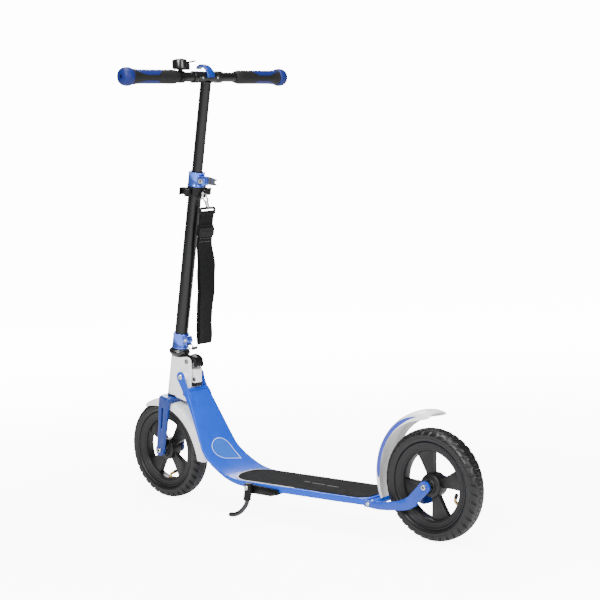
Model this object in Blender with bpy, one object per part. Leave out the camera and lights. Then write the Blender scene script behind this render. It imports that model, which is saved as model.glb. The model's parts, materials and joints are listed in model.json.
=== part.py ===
"""Folding kick scooter with air tyres, a height-adjustable stem and plug-in handles.

Frame: +X is forwards, +Y is the rider's left, +Z is up. The origin is on the ground, midway between
the axles.
"""

import math

import bmesh
import bpy
from mathutils import Matrix, Vector

# Driving dimensions, in metres
WHEEL_R = 0.115
TYRE_HALF = 0.021
TREAD_FLAT_HALF = 0.004
WHEELBASE = 0.788
SPOKES = 4
STEERING_TILT = math.radians(12.5)
DECK_TOP = 0.0805
DECK_HALF = 0.0625
SHEET = 0.003
ARM_THICK = 0.005
ARM_HALF_AT_AXLE = 0.0315
FOLD_PIVOT = (0.310, 0.293)
LATCH_PIVOT = (0.301, 0.328)
BRAKE_PIN = (-0.268, 0.072)
STAND_PIVOT = (0.064, 0.072)
HEAD_R = 0.018
CHEEK_HALF = 0.018
LOWER_TUBE_R = 0.01525
LOWER_BORE_R = 0.0131
UPPER_TUBE_R = 0.0122
HANDLE_R = 0.0107
CLEARANCE = 0.0003

# Heights along the steering axis, measured from the front axle
CROWN_LOW = 0.1225
CROWN_TOP = 0.1325
HEAD_LOW = 0.1365
HEAD_TOP = 0.2285
COVER_TOP = 0.2475
COLLAR_TOP = 0.2835
CLIP_LOW = 0.607
CLIP_TOP = 0.628
CLAMP_TOP = 0.662
BAR_S = 0.876

# Places along the handlebar
SLEEVE_END = 0.043
GRIP_START = 0.0855
GRIP_END = 0.250
HANDLE_BUTTON_Y = 0.0225
BELL_Y = 0.0785

# The height button points back and to the right of the stem, and the quick release lever hangs there
BUTTON_TURN = math.radians(205)
BUTTON_S = 0.603
BUTTON_STEP = 0.064
CLAMP_LOW = CLIP_TOP + 0.0008
QR_Y = -0.0148
QR_MIDDLE = (CLAMP_LOW + CLAMP_TOP) / 2

REAR_X = -WHEELBASE / 2
FRONT_X = WHEELBASE / 2

WORLD = Matrix.Identity(4)
STEER = Matrix.Translation((FRONT_X, 0, WHEEL_R)) @ Matrix.Rotation(-STEERING_TILT, 4, "Y")
ALONG_Y = Matrix.Rotation(-math.pi / 2, 4, "X")
world_of = {}
materials = {}


# Scene and object helpers


def clear_scene():
    for obj in list(bpy.data.objects):
        bpy.data.objects.remove(obj, do_unlink=True)


def paint(name, colour, roughness, metallic=0.0):
    material = bpy.data.materials.new(name)
    material.use_nodes = True
    shader = material.node_tree.nodes["Principled BSDF"]
    shader.inputs["Base Color"].default_value = (*colour, 1.0)
    shader.inputs["Roughness"].default_value = roughness
    shader.inputs["Metallic"].default_value = metallic
    materials[name] = material


def make_materials():
    paint("blue_paint", (0.045, 0.17, 0.66), 0.35)
    paint("fork_blue", (0.035, 0.11, 0.52), 0.35)
    paint("anodised_blue", (0.08, 0.17, 0.75), 0.25, 0.8)
    paint("white_plastic", (0.85, 0.85, 0.84), 0.35)
    paint("white_paint", (0.86, 0.86, 0.85), 0.3)
    paint("black_paint", (0.035, 0.035, 0.037), 0.4)
    paint("black_plastic", (0.025, 0.025, 0.027), 0.45)
    paint("rim_grey", (0.055, 0.055, 0.058), 0.45)
    paint("rubber", (0.03, 0.03, 0.032), 0.7)
    paint("webbing", (0.03, 0.03, 0.03), 0.85)
    paint("mat_grit", (0.045, 0.045, 0.045), 0.9)
    paint("steel", (0.62, 0.62, 0.64), 0.3, 1.0)
    paint("grey_metal", (0.55, 0.55, 0.56), 0.4, 0.8)


def pivot(name, matrix, parent=None):
    """An empty on a joint's axis, placed in the world whatever its parent."""
    empty = bpy.data.objects.new(name, None)
    empty.empty_display_size = 0.03
    bpy.context.collection.objects.link(empty)
    world_of[name] = matrix
    if parent:
        empty.parent = parent
        empty.matrix_basis = world_of[parent.name].inverted() @ matrix
    else:
        empty.matrix_basis = matrix
    return empty


def add_object(name, bm, material, holder, frame):
    """A mesh object whose shape is drawn in frame and whose origin is its holder's."""
    if holder:
        frame = world_of[holder.name].inverted() @ frame
    bm.transform(frame)
    bmesh.ops.recalc_face_normals(bm, faces=bm.faces)
    mesh = bpy.data.meshes.new(name)
    bm.to_mesh(mesh)
    bm.free()
    mesh.materials.append(materials[material])
    obj = bpy.data.objects.new(name, mesh)
    bpy.context.collection.objects.link(obj)
    obj.parent = holder
    return obj


def node(name, bm, material, holder=None, frame=WORLD, joins=(), cuts=()):
    """One named sub-part. joins are shapes welded on, and cuts are shapes taken away."""
    obj = add_object(name, bm, material, holder, frame)
    steps = [(shape, "UNION") for shape in joins] + [(shape, "DIFFERENCE") for shape in cuts]
    for number, (shape, operation) in enumerate(steps):
        tool = add_object(f"{name}_tool{number}", shape, material, holder, frame)
        tool.hide_render = True
        tool.display_type = "WIRE"
        step = obj.modifiers.new(f"{operation.lower()}_{number}", "BOOLEAN")
        step.operation = operation
        step.object = tool
    obj.data.shade_smooth()
    obj.data.set_sharp_from_angle(angle=math.radians(38))
    return obj


# Shape helpers: each returns a new closed bmesh


def circle(radius, count, start=0.0):
    turn = 2 * math.pi / count
    angles = [start + i * turn for i in range(count)]
    return [(radius * math.cos(angle), radius * math.sin(angle)) for angle in angles]


def revolve(profile, steps):
    """Turns a closed outline of (radius, height) points about Z. Points on the axis become poles."""
    bm = bmesh.new()
    rings = []
    for radius, height in profile:
        spots = circle(radius, steps) if radius > 1e-6 else [(0.0, 0.0)]
        rings.append([bm.verts.new((x, y, height)) for x, y in spots])
    for low, high in zip(rings, rings[1:] + rings[:1]):
        if len(low) == len(high) == 1:
            continue
        for i in range(steps):
            j = (i + 1) % steps
            corners = [low[i % len(low)], low[j % len(low)], high[j % len(high)], high[i % len(high)]]
            bm.faces.new(list(dict.fromkeys(corners)))
    return bm


def loft(sections, closed=False):
    """Skins a run of equal rings, capping both ends unless the run is closed."""
    bm = bmesh.new()
    rings = [[bm.verts.new(point) for point in section] for section in sections]
    following = rings[1:] + rings[:1] if closed else rings[1:]
    for first, second in zip(rings, following):
        for i in range(len(first)):
            j = (i + 1) % len(first)
            bm.faces.new((first[i], first[j], second[j], second[i]))
    if not closed:
        bm.faces.new(rings[0][::-1])
        bm.faces.new(rings[-1])
    return bm


def plate(outline, y_low, y_high):
    """A flat outline of (x, z) points made thick along Y."""
    return loft([[(x, y, z) for x, z in outline] for y in (y_low, y_high)])


def box(low, high):
    corners = [(low[0], low[2]), (high[0], low[2]), (high[0], high[2]), (low[0], high[2])]
    return plate(corners, low[1], high[1])


def rod(start, end, radius, sides=16, bore=0.0):
    """A round bar or, with a bore, a pipe between two points."""
    start, end = Vector(start), Vector(end)
    length = (end - start).length
    inner = bore if bore else 0.0
    bm = revolve([(inner, 0), (radius, 0), (radius, length), (inner, length)], sides)
    bm.transform(Matrix.Translation(start) @ (end - start).to_track_quat("Z", "Y").to_matrix().to_4x4())
    return bm


def smooth_path(points, per_span):
    """Points along a Catmull-Rom curve through the given ones."""
    points = [Vector(p) for p in points]
    ends = [2 * points[0] - points[1], *points, 2 * points[-1] - points[-2]]
    path = []
    for a, b, c, d in zip(ends, ends[1:], ends[2:], ends[3:]):
        for k in range(per_span):
            t = k / per_span
            bend = (2 * a - 5 * b + 4 * c - d) * t**2 + (3 * b - a - 3 * c + d) * t**3
            path.append(0.5 * (2 * b + (c - a) * t + bend))
    return path + [points[-1]]


def wire(points, radius, sides=8, closed=False):
    """A round wire along a path, with its rings turned no more than they must be."""
    points = [Vector(p) for p in points]
    count = len(points)
    sections = []
    side = None
    for i, point in enumerate(points):
        before = points[i - 1] if closed or i else points[0]
        after = points[(i + 1) % count] if closed or i < count - 1 else points[-1]
        along = (after - before).normalized()
        if side is None:
            side = along.orthogonal().normalized()
        side = (side - along * side.dot(along)).normalized()
        other = along.cross(side)
        sections.append([point + side * x + other * y for x, y in circle(radius, sides)])
    return loft(sections, closed)


def bolt(y_low, y_high, radius, head_r, head_h, steps=10):
    """A bolt along Y through x = z = 0, with a head at its high end and a nut at its low end."""
    bm = revolve(
        [
            (0, y_low - head_h),
            (head_r, y_low - head_h),
            (head_r, y_low),
            (radius, y_low),
            (radius, y_high),
            (head_r, y_high),
            (head_r * 0.7, y_high + head_h),
            (0, y_high + head_h),
        ],
        steps,
    )
    bm.transform(ALONG_Y)
    return bm


def moved(bm, x=0.0, y=0.0, z=0.0):
    bm.transform(Matrix.Translation((x, y, z)))
    return bm


def sweep_blend(t):
    """0 to 1 with level ends."""
    t = min(max(t, 0.0), 1.0)
    return t * t * (3 - 2 * t)


# Frame: the neck and deck plate, its arms and what is fixed to it

# Centre line of the plate from the deck's rear end to the top of the neck: x, z, half width, flange depth
PLATE_LINE = (
    (-0.2575, DECK_TOP, 0.0600, 0.0128),
    (-0.1500, DECK_TOP, DECK_HALF, 0.0133),
    (0.0400, DECK_TOP, DECK_HALF, 0.0133),
    (0.1000, 0.0808, 0.0622, 0.0115),
    (0.1330, 0.0840, 0.0618, 0.0080),
    (0.1640, 0.0940, 0.0605, 0.0055),
    (0.1970, 0.1120, 0.0585, 0.0045),
    (0.2200, 0.1320, 0.0550, 0.0045),
    (0.2350, 0.1570, 0.0510, 0.0045),
    (0.2560, 0.2000, 0.0440, 0.0060),
    (0.2760, 0.2400, 0.0375, 0.0095),
    (0.2880, 0.2620, 0.0330, 0.0120),
)
ARM_PLATE = (0.0285, 0.0325)


def plate_stations(per_span):
    """(point, rider-side normal, half width, flange depth) along the plate."""
    line = smooth_path([(x, z, half) for x, z, half, _ in PLATE_LINE], per_span)
    depths = smooth_path([(depth, 0, 0) for *_, depth in PLATE_LINE], per_span)
    stations = []
    for i, (spot, depth) in enumerate(zip(line, depths)):
        ahead = line[min(i + 1, len(line) - 1)] - line[max(i - 1, 0)]
        along = Vector((ahead.x, 0, ahead.y)).normalized()
        normal = Vector((-along.z, 0, along.x))
        stations.append((Vector((spot.x, 0, spot.y)), normal, spot.z, depth.x))
    return stations


def neck_and_deck():
    sections = []
    for point, normal, half, depth in plate_stations(3):
        corner = 0.0015
        outer = [(-half, -depth), (-half, -corner), (-half + corner, 0)]
        inner = [(-half + SHEET, -depth), (-half + SHEET, -SHEET)]
        ring = outer + [(-y, n) for y, n in outer[::-1]] + [(-y, n) for y, n in inner] + inner[::-1]
        sections.append([point + Vector((0, y, 0)) + normal * n for y, n in ring])
    x, z = FOLD_PIVOT
    end_r = 0.0122
    arc = [math.radians(a) for a in range(-50, 191, 24)]
    round_end = [(x + end_r * math.cos(a), z + end_r * math.sin(a)) for a in arc]
    outline = [*round_end, (0.2895, 0.2600), (0.2640, 0.2110), (0.2700, 0.2085), (0.2860, 0.2250)]
    arms = [plate(outline, *sorted((side * ARM_PLATE[0], side * ARM_PLATE[1]))) for side in (1, -1)]
    brace = plate([(0.2700, 0.2200), (0.2860, 0.2580), (0.2905, 0.2555), (0.2745, 0.2175)], -0.031, 0.031)
    holes = [moved(rod((0, -0.04, 0), (0, 0.04, 0), 0.0043), x, 0, z)]
    node("neck_and_deck", loft(sections), "blue_paint", joins=[*arms, brace], cuts=holes)


def rear_arm(name, side):
    """A flat arm from the deck's rail to the axle, bent inwards beside the tyre."""
    spots = [-0.2580, -0.2700, -0.2840, -0.2970, -0.3110, -0.3260, -0.3400, -0.3560, -0.3720]
    sections = []
    for x in spots:
        inwards = sweep_blend((-0.284 - x) / 0.062)
        middle = 0.0595 + (ARM_HALF_AT_AXLE - 0.0595) * inwards
        low = 0.0655 - 0.004 * sweep_blend((-0.258 - x) / 0.06)
        low += 0.026 * sweep_blend((-0.338 - x) / 0.066)
        high = DECK_TOP - 0.0015 + 0.0275 * sweep_blend((-0.318 - x) / 0.072)
        ring = [(middle - ARM_THICK / 2, low), (middle + ARM_THICK / 2, low)]
        ring += [(middle + ARM_THICK / 2, high), (middle - ARM_THICK / 2, high)]
        sections.append([(x, side * y, z) for y, z in ring])
    inner, outer = ARM_HALF_AT_AXLE - ARM_THICK / 2, ARM_HALF_AT_AXLE + ARM_THICK / 2
    eye = moved(rod((0, side * inner, 0), (0, side * outer, 0), 0.0125, 20), REAR_X, 0, WHEEL_R)
    axle_hole = moved(rod((0, -0.05, 0), (0, 0.05, 0), 0.0043), REAR_X, 0, WHEEL_R)
    pin_hole = moved(rod((0, -0.07, 0), (0, 0.07, 0), 0.0034), BRAKE_PIN[0], 0, BRAKE_PIN[1])
    neck = plate(
        [(-0.3600, 0.0690), (-0.3480, 0.0880), (-0.3860, 0.1240), (-0.4035, 0.1065)],
        *sorted((side * inner, side * outer)),
    )
    node(name, loft(sections), "blue_paint", joins=[neck, eye], cuts=[axle_hole, pin_hole])


def mat_half(x):
    """Half width of the grip mat, round at the front."""
    front, rear, full, length = 0.132, -0.252, 0.0555, 0.062
    if x < rear + 0.014:
        return full - 0.018 * (rear + 0.014 - x) / 0.014
    return full * math.sqrt(max(0.0, 1 - max(0.0, (x - (front - length)) / length) ** 2))


def grip_mat():
    stations = [s for s in plate_stations(3) if -0.2540 < s[0].x < 0.131]
    sections = []
    for point, normal, _, _ in stations:
        half = max(mat_half(point.x), 0.012)
        ring = [(-half, CLEARANCE), (half, CLEARANCE), (half, 0.0014), (-half, 0.0014)]
        sections.append([point + Vector((0, y, 0)) + normal * n for y, n in ring])
    node("grip_mat", loft(sections), "mat_grit")


def latch_block():
    x, z = FOLD_PIVOT
    outline = [(x - 0.0270, z - 0.0235), (x - 0.0290, z - 0.0030), (x - 0.0255, z + 0.0125)]
    outline += [(x - 0.0135, z + 0.0125), (x - 0.0125, z - 0.0050), (x - 0.0150, z - 0.0235)]
    node("latch_block", plate(outline, -0.0130, 0.0130), "grey_metal")


def frame_fasteners():
    x, z = FOLD_PIVOT
    node("fold_pivot_bolt", moved(bolt(-0.0330, 0.0330, 0.0040, 0.0068, 0.0030), x, 0, z), "steel")
    axle_out = ARM_HALF_AT_AXLE + ARM_THICK / 2 + CLEARANCE
    node("rear_axle", moved(wheel_axle(axle_out, 0.0285), REAR_X, 0, WHEEL_R), "steel")
    pin = bolt(-0.0623, 0.0623, 0.0030, 0.0048, 0.0020)
    node("brake_pin", moved(pin, BRAKE_PIN[0], 0, BRAKE_PIN[1]), "steel")


def wheel_axle(outside, inside):
    """A bolt through a wheel's bearings, with a shoulder on each side to space the wheel."""
    shoulder = 0.0218
    half = [(0.0039, shoulder), (0.0058, shoulder), (0.0058, inside), (0.0039, inside)]
    half += [(0.0039, outside), (0.0072, outside), (0.0060, outside + 0.0045), (0, outside + 0.0045)]
    profile = [(r, -y) for r, y in half[::-1]] + half
    bm = revolve(profile, 12)
    bm.transform(ALONG_Y)
    return bm


def brake_spring():
    """A torsion spring round the brake pin, at the left end of the fender's barrel."""
    coil_r, wire_r, turns, per_turn = 0.0055, 0.0009, 3, 8
    points = []
    for i in range(turns * per_turn + 1):
        angle = 2 * math.pi * i / per_turn
        y = 0.0480 + 0.0024 * i / per_turn
        points.append(
            (BRAKE_PIN[0] + coil_r * math.cos(angle), y, BRAKE_PIN[1] + coil_r * math.sin(angle))
        )
    node("brake_spring", wire(points, wire_r, 6), "steel")


# Wheels


def tyre():
    outer = [(0.0845, 0.0080), (0.0845, 0.0138), (0.0898, 0.0141), (0.0901, 0.0172), (0.0950, 0.0198)]
    outer += [(0.1010, TYRE_HALF), (0.1070, 0.0197), (0.1118, 0.0155), (0.1140, 0.0100)]
    outer.append((WHEEL_R, TREAD_FLAT_HALF))
    inner = [(0.1112, 0.0), (0.1095, 0.0110), (0.1020, 0.0172), (0.0940, 0.0150)]
    profile = outer + [(r, -y) for r, y in outer[::-1]] + [(r, -y) for r, y in inner[::-1]] + inner[1:]
    bm = revolve(profile, 28)
    bm.transform(ALONG_Y)
    return bm


def inner_tube():
    """An air tube with its valve stem, drawn open towards the rim."""
    outer = [(0.0905, 0.0090), (0.0960, 0.0138), (0.1020, 0.0160), (0.1080, 0.0108), (0.1105, 0.0)]
    inner = [(0.1088, 0.0), (0.1018, 0.0142), (0.0915, 0.0072)]
    profile = outer + [(r, -y) for r, y in outer[-2::-1]] + [(r, -y) for r, y in inner[::-1]] + inner[1:]
    bm = revolve(profile, 20)
    bm.transform(ALONG_Y)
    return bm


def rim(phase):
    ring = [(0.0893, 0.0165), (0.0893, 0.0146), (0.0838, 0.0143), (0.0838, 0.0085), (0.0800, 0.0060)]
    wall = [(0.0700, 0.0125), (0.0770, 0.0160)]
    profile = ring + [(r, -y) for r, y in ring[::-1]] + [(r, -y) for r, y in wall[::-1]] + wall
    body = revolve(profile, 28)
    hub = revolve(
        [
            (0.0095, -0.0138),
            (0.0113, -0.0138),
            (0.0113, -0.0215),
            (0.0160, -0.0215),
            (0.0180, -0.0110),
            (0.0180, 0.0110),
            (0.0160, 0.0215),
            (0.0113, 0.0215),
            (0.0113, 0.0138),
            (0.0095, 0.0138),
        ],
        16,
    )
    spokes = bmesh.new()
    for i in range(SPOKES):
        angle = phase + i * 2 * math.pi / SPOKES
        half = [(0.0140, 0.0100), (0.0250, 0.0088), (0.0480, 0.0125), (0.0735, 0.0235)]
        outline = [(r, -w) for r, w in half] + half[::-1]
        spoke = loft([[(r, w, y) for r, w in outline] for y in (-0.0055, 0.0055)])
        spoke.transform(Matrix.Rotation(-angle, 4, "Z"))
        mesh = bpy.data.meshes.new("spoke")
        spoke.to_mesh(mesh)
        spoke.free()
        spokes.from_mesh(mesh)
        bpy.data.meshes.remove(mesh)
    for bm in (body, hub, spokes):
        bm.transform(ALONG_Y)
    return body, hub, spokes


def valve(angle):
    """A stem through the rim, bent towards the right, and the foot that joins it to the tube."""
    route = [(0.0920, 0, 0), (0.0700, 0, 0), (0.0640, -0.0035, 0), (0.0590, -0.0095, 0)]
    route.append((0.0550, -0.0150, 0))
    stem = wire(route, 0.0027, 10)
    foot = box((0.0908, -0.0110, -0.0060), (0.0930, 0.0110, 0.0060))
    for shape in (stem, foot):
        shape.transform(Matrix.Rotation(-angle, 4, "Y"))
    return foot, stem


def wheel(prefix, holder, frame, phase, valve_angle):
    node(f"{prefix}_tyre", tyre(), "rubber", holder, frame)
    body, hub, spokes = rim(phase)
    hole = rod((0.052, 0, 0), (0.0870, 0, 0), 0.0034, 10)
    hole.transform(Matrix.Rotation(-valve_angle, 4, "Y"))
    node(f"{prefix}_rim", body, "rim_grey", holder, frame, joins=[spokes, hub], cuts=[hole])
    node(f"{prefix}_inner_tube", inner_tube(), "rubber", holder, frame, joins=valve(valve_angle))
    for side, word in ((1, "left"), (-1, "right")):
        low, high = sorted((side * 0.0143, side * 0.0213))
        bearing = revolve([(0.0043, low), (0.0110, low), (0.0110, high), (0.0043, high)], 12)
        bearing.transform(ALONG_Y)
        node(f"{prefix}_bearing_{word}", bearing, "steel", holder, frame)


# Fenders


def fender(stations, half, thick, centre_x):
    """A crowned shell round a wheel. Each station is (angle in degrees, crown radius, lip radius)."""
    sections = []
    for degrees, crown, lip in stations:
        angle = math.radians(degrees)
        outer = [(half, lip), (half, crown - 0.0085), (half * 0.80, crown - 0.0028)]
        outer += [(half * 0.4, crown - 0.0005), (0.0, crown)]
        thin = half - thick
        inner = [(thin, lip), (thin, crown - 0.0090), (thin * 0.76, crown - 0.0028 - thick)]
        inner += [(thin * 0.4, crown - 0.0005 - thick), (0.0, crown - thick)]
        ring = outer + [(-y, r) for y, r in outer[-2::-1]] + [(-y, r) for y, r in inner] + inner[-2::-1]
        sections.append(
            [(centre_x + r * math.cos(angle), y, WHEEL_R + r * math.sin(angle)) for y, r in ring]
        )
    return loft(sections)


def between(stations, per_span):
    return [tuple(p) for p in smooth_path(stations, per_span)]


REAR_FENDER = (
    (-17, 0.1315, 0.1200),
    (0, 0.1345, 0.1212),
    (20, 0.1385, 0.1222),
    (45, 0.1450, 0.1290),
    (70, 0.1508, 0.1325),
    (88, 0.1528, 0.1350),
    (96, 0.1500, 0.1400),
)
FRONT_FENDER = (
    (64, 0.1218, 0.1100),
    (85, 0.1212, 0.1040),
    (105, 0.1212, 0.1030),
    (125, 0.1230, 0.1030),
    (150, 0.1300, 0.1055),
    (172, 0.1375, 0.1120),
    (187, 0.1430, 0.1200),
)


def rear_fender(holder):
    x, z = BRAKE_PIN
    shell = fender(between(REAR_FENDER, 3), 0.0290, 0.0024, REAR_X)
    barrel = moved(rod((0, -0.0460, 0), (0, 0.0460, 0), 0.0062, 16), x, 0, z)
    hole = moved(rod((0, -0.0700, 0), (0, 0.0700, 0), 0.0034, 16), x, 0, z)
    node("rear_fender", shell, "white_plastic", holder, joins=[barrel], cuts=[hole])


def front_fender(holder):
    shell = fender(between(FRONT_FENDER, 3), 0.0255, 0.0020, FRONT_X)
    node("front_fender", shell, "white_plastic", holder)


# Kickstand


def kickstand(holder):
    x, z = STAND_PIVOT
    low, high = 0.0682, 0.0800
    rings = []
    sizes = ((-0.001, 0.0070, 0.0085), (0.0, 0.0085, -0.0050), (0.0055, 0.0072, -0.0300))
    for shift, half, height in sizes:
        ring = [(-half, low), (half, low), (half, high), (-half, high)]
        rings.append([(x + shift + dx, y, z + height) for dx, y in ring])
    hole = moved(rod((0, 0.060, 0), (0, 0.090, 0), 0.0034, 12), x, 0, z)
    node("kickstand_sleeve", loft(rings), "black_plastic", holder, cuts=[hole])
    middle = (low + high) / 2
    route = [
        (x + 0.0058, middle, z - 0.0310),
        (x + 0.0068, middle, z - 0.0350),
        (x + 0.0120, middle + 0.0010, z - 0.0440),
        (x + 0.0230, middle + 0.0040, z - 0.0560),
        (x + 0.0360, middle + 0.0080, z - 0.0630),
        (x + 0.0480, middle + 0.0110, z - 0.0642),
    ]
    node("kickstand_leg", wire(smooth_path(route, 3), 0.0040, 8), "black_paint", holder)


def kickstand_bracket():
    x, z = STAND_PIVOT
    inner, outer = DECK_HALF + 0.0004, 0.0678
    face = plate(
        [(x - 0.082, z - 0.010), (x - 0.082, z + 0.001), (x - 0.016, z + 0.0045), (x + 0.013, z + 0.0060)]
        + [(x + 0.013, z - 0.008), (x + 0.004, z - 0.0145), (x - 0.060, z - 0.0150)],
        inner,
        outer,
    )
    foot = box((x - 0.078, 0.020, z - 0.0105), (x + 0.002, 0.0640, z - 0.0072))
    hole = moved(rod((0, 0.05, 0), (0, 0.08, 0), 0.0034, 12), x, 0, z)
    node("kickstand_bracket", face, "black_plastic", joins=[foot], cuts=[hole])
    axle = moved(bolt(inner, 0.0804, 0.0030, 0.0056, 0.0024), x, 0, z)
    blunt = box((x - 0.01, 0.040, z - 0.01), (x + 0.01, inner + 0.0003, z + 0.01))
    node("kickstand_bolt", axle, "steel", cuts=[blunt])


# Folding head


def head_bracket(holder):
    """The head tube with two cheeks reaching back to the fold pivot."""
    x, z = FOLD_PIVOT
    tube = revolve(
        [(0.0150, HEAD_LOW), (HEAD_R, HEAD_LOW), (HEAD_R, HEAD_TOP), (0.0150, HEAD_TOP)], 32
    )
    to_steer = STEER.inverted()
    outline = [(0.2890, 0.3330), (0.2890, 0.3020), (0.2950, 0.2620), (0.3060, 0.2385), (0.3440, 0.2475)]
    outline += [(0.3600, 0.2700), (0.3500, 0.3320), (0.3300, 0.3355), (0.3000, 0.3390)]
    cheeks = []
    for side in (1, -1):
        cheek = plate(outline, *sorted((side * (CHEEK_HALF - 0.0045), side * CHEEK_HALF)))
        cheek.transform(to_steer)
        cheeks.append(cheek)
    web = plate([(0.3230, 0.2560), (0.3450, 0.2560), (0.3380, 0.3280), (0.3250, 0.3280)], -0.0150, 0.0150)
    web.transform(to_steer)
    bosses = [
        moved(rod((0, side * 0.0170, 0), (0, side * 0.0280, 0), 0.0085, 16), x, 0, z) for side in (1, -1)
    ]
    holes = [moved(rod((0, -0.04, 0), (0, 0.04, 0), 0.0043), x, 0, z)]
    holes += [moved(rod((0, -0.03, 0), (0, 0.03, 0), 0.0030), *p) for p in bracket_bolt_places()]
    for shape in bosses + holes:
        shape.transform(to_steer)
    bore = rod((0, 0, 0.10), (0, 0, 0.26), 0.0150, 32)
    joins = [*cheeks, web, *bosses]
    node("head_bracket", tube, "white_paint", holder, STEER, joins=joins, cuts=[bore, *holes])


def bracket_bolt_places():
    return [(LATCH_PIVOT[0], 0, LATCH_PIVOT[1]), (0.3130, 0, 0.2520)]


def head_hardware(holder):
    for word, place in zip(("upper", "lower"), bracket_bolt_places()):
        screw = bolt(-CHEEK_HALF - CLEARANCE, CHEEK_HALF + CLEARANCE, 0.0027, 0.0050, 0.0018)
        node(f"bracket_bolt_{word}", moved(screw, *place), "steel", holder)
    for word, low in (("lower", HEAD_LOW + 0.001), ("upper", HEAD_TOP - 0.0080)):
        ring = revolve([(0.0128, low), (0.0147, low), (0.0147, low + 0.007), (0.0128, low + 0.007)], 24)
        node(f"headset_bearing_{word}", ring, "steel", holder, STEER)


def latch_lever(holder):
    x, z = LATCH_PIVOT
    outline = [(x + 0.0190, z + 0.0105), (x - 0.0010, z + 0.0150), (x - 0.0290, z + 0.0080)]
    outline += [(x - 0.0320, z - 0.0030), (x - 0.0300, z - 0.0110), (x - 0.0200, z - 0.0105)]
    outline += [(x - 0.0110, z - 0.0020), (x - 0.0040, z - 0.0045), (x + 0.0050, z - 0.0045)]
    hole = moved(rod((0, -0.03, 0), (0, 0.03, 0), 0.0031, 12), x, 0, z)
    node("latch_lever", plate(outline, -0.0125, 0.0125), "black_plastic", holder, cuts=[hole])


# Steering: everything that turns with the front wheel


def fork_leg(side):
    sizes = [(0.0, 0.0135, 0.0335), (0.060, 0.0145, 0.0350), (0.100, 0.0160, 0.0375)]
    sizes.append((CROWN_TOP - 0.003, 0.0165, 0.0385))
    sections = []
    for height, half, outer in sizes:
        ring = rounded_box(half, 0.0265, outer, 0.0028)
        sections.append([(fwd, side * y, height) for fwd, y in ring])
    return loft(sections)


def rounded_box(half, y_low, y_high, corner):
    front = [(half - corner, y_low), (half, y_low + corner)]
    front += [(half, y_high - corner), (half - corner, y_high)]
    return front + [(-fwd, y) for fwd, y in front[::-1]]


def fork(holder):
    crown = loft(
        [
            [(fwd, y, height) for fwd, y in rounded_box(half, -width, width, 0.006)]
            for height, half, width in (
                (CROWN_LOW, 0.0165, 0.0385),
                (CROWN_TOP - 0.003, 0.0165, 0.0385),
                (CROWN_TOP, 0.0145, 0.0360),
            )
        ]
    )
    legs = [fork_leg(side) for side in (1, -1)]
    ends = [rod((0, side * 0.0265, 0), (0, side * 0.0335, 0), 0.0135, 20) for side in (1, -1)]
    steerer = rod((0, 0, CROWN_LOW + 0.004), (0, 0, COLLAR_TOP - 0.004), 0.0124, 24)
    shoulder = rod((0, 0, CROWN_TOP - 0.002), (0, 0, HEAD_LOW - 0.0006), 0.0165, 24)
    slots = []
    for side in (1, -1):
        low, high = sorted((side * 0.020, side * 0.045))
        slots.append(box((-0.0028, low, 0.055), (0.0028, high, 0.105)))
    axle_hole = rod((0, -0.05, 0), (0, 0.05, 0), 0.0043)
    joins = [*legs, *ends, shoulder, steerer]
    node("fork", crown, "fork_blue", holder, STEER, joins=joins, cuts=[*slots, axle_hole])
    node("front_axle", wheel_axle(0.0338, 0.0262), "steel", holder, STEER)


def stem_collars(holder):
    cover = [(0.0130, HEAD_TOP + 0.0008), (0.0165, HEAD_TOP + 0.0008), (0.0225, 0.2345), (0.0245, 0.2395)]
    cover += [(0.0225, 0.2440), (0.0190, COVER_TOP), (0.0130, COVER_TOP)]
    node("headset_cover", revolve(cover, 32), "black_plastic", holder, STEER)
    low, high = COVER_TOP + CLEARANCE, COLLAR_TOP
    ring = revolve([(0.0156, low), (0.0188, low), (0.0188, high), (0.0156, high)], 32)
    ear = box((-0.0290, -0.0085, low + 0.012), (-0.0165, 0.0085, high - 0.002))
    slit = box((-0.0400, -0.0010, low - 0.001), (-0.0100, 0.0010, high + 0.001))
    hole = rod((-0.0235, -0.02, low + 0.0225), (-0.0235, 0.02, low + 0.0225), 0.0030, 12)
    node("lower_collar", ring, "anodised_blue", holder, STEER, joins=[ear], cuts=[slit, hole])
    screw = moved(bolt(-0.0088, 0.0088, 0.0026, 0.0050, 0.0030), -0.0235, 0, low + 0.0225)
    node("lower_collar_bolt", screw, "steel", holder, STEER)
    tube = [(LOWER_BORE_R, low), (LOWER_TUBE_R, low), (LOWER_TUBE_R, 0.6550), (LOWER_BORE_R, 0.6550)]
    holes = [button_hole(BUTTON_S - BUTTON_STEP * i) for i in range(6)]
    node("lower_tube", revolve(tube, 32), "black_paint", holder, STEER, cuts=holes)


def towards_button(distance, height):
    """A point on the stem's own frame, out along the height button's line."""
    return Vector((distance * math.cos(BUTTON_TURN), distance * math.sin(BUTTON_TURN), height))


def button_hole(height):
    return rod(towards_button(0.0105, height), towards_button(0.0200, height), 0.0034, 12)


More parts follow.
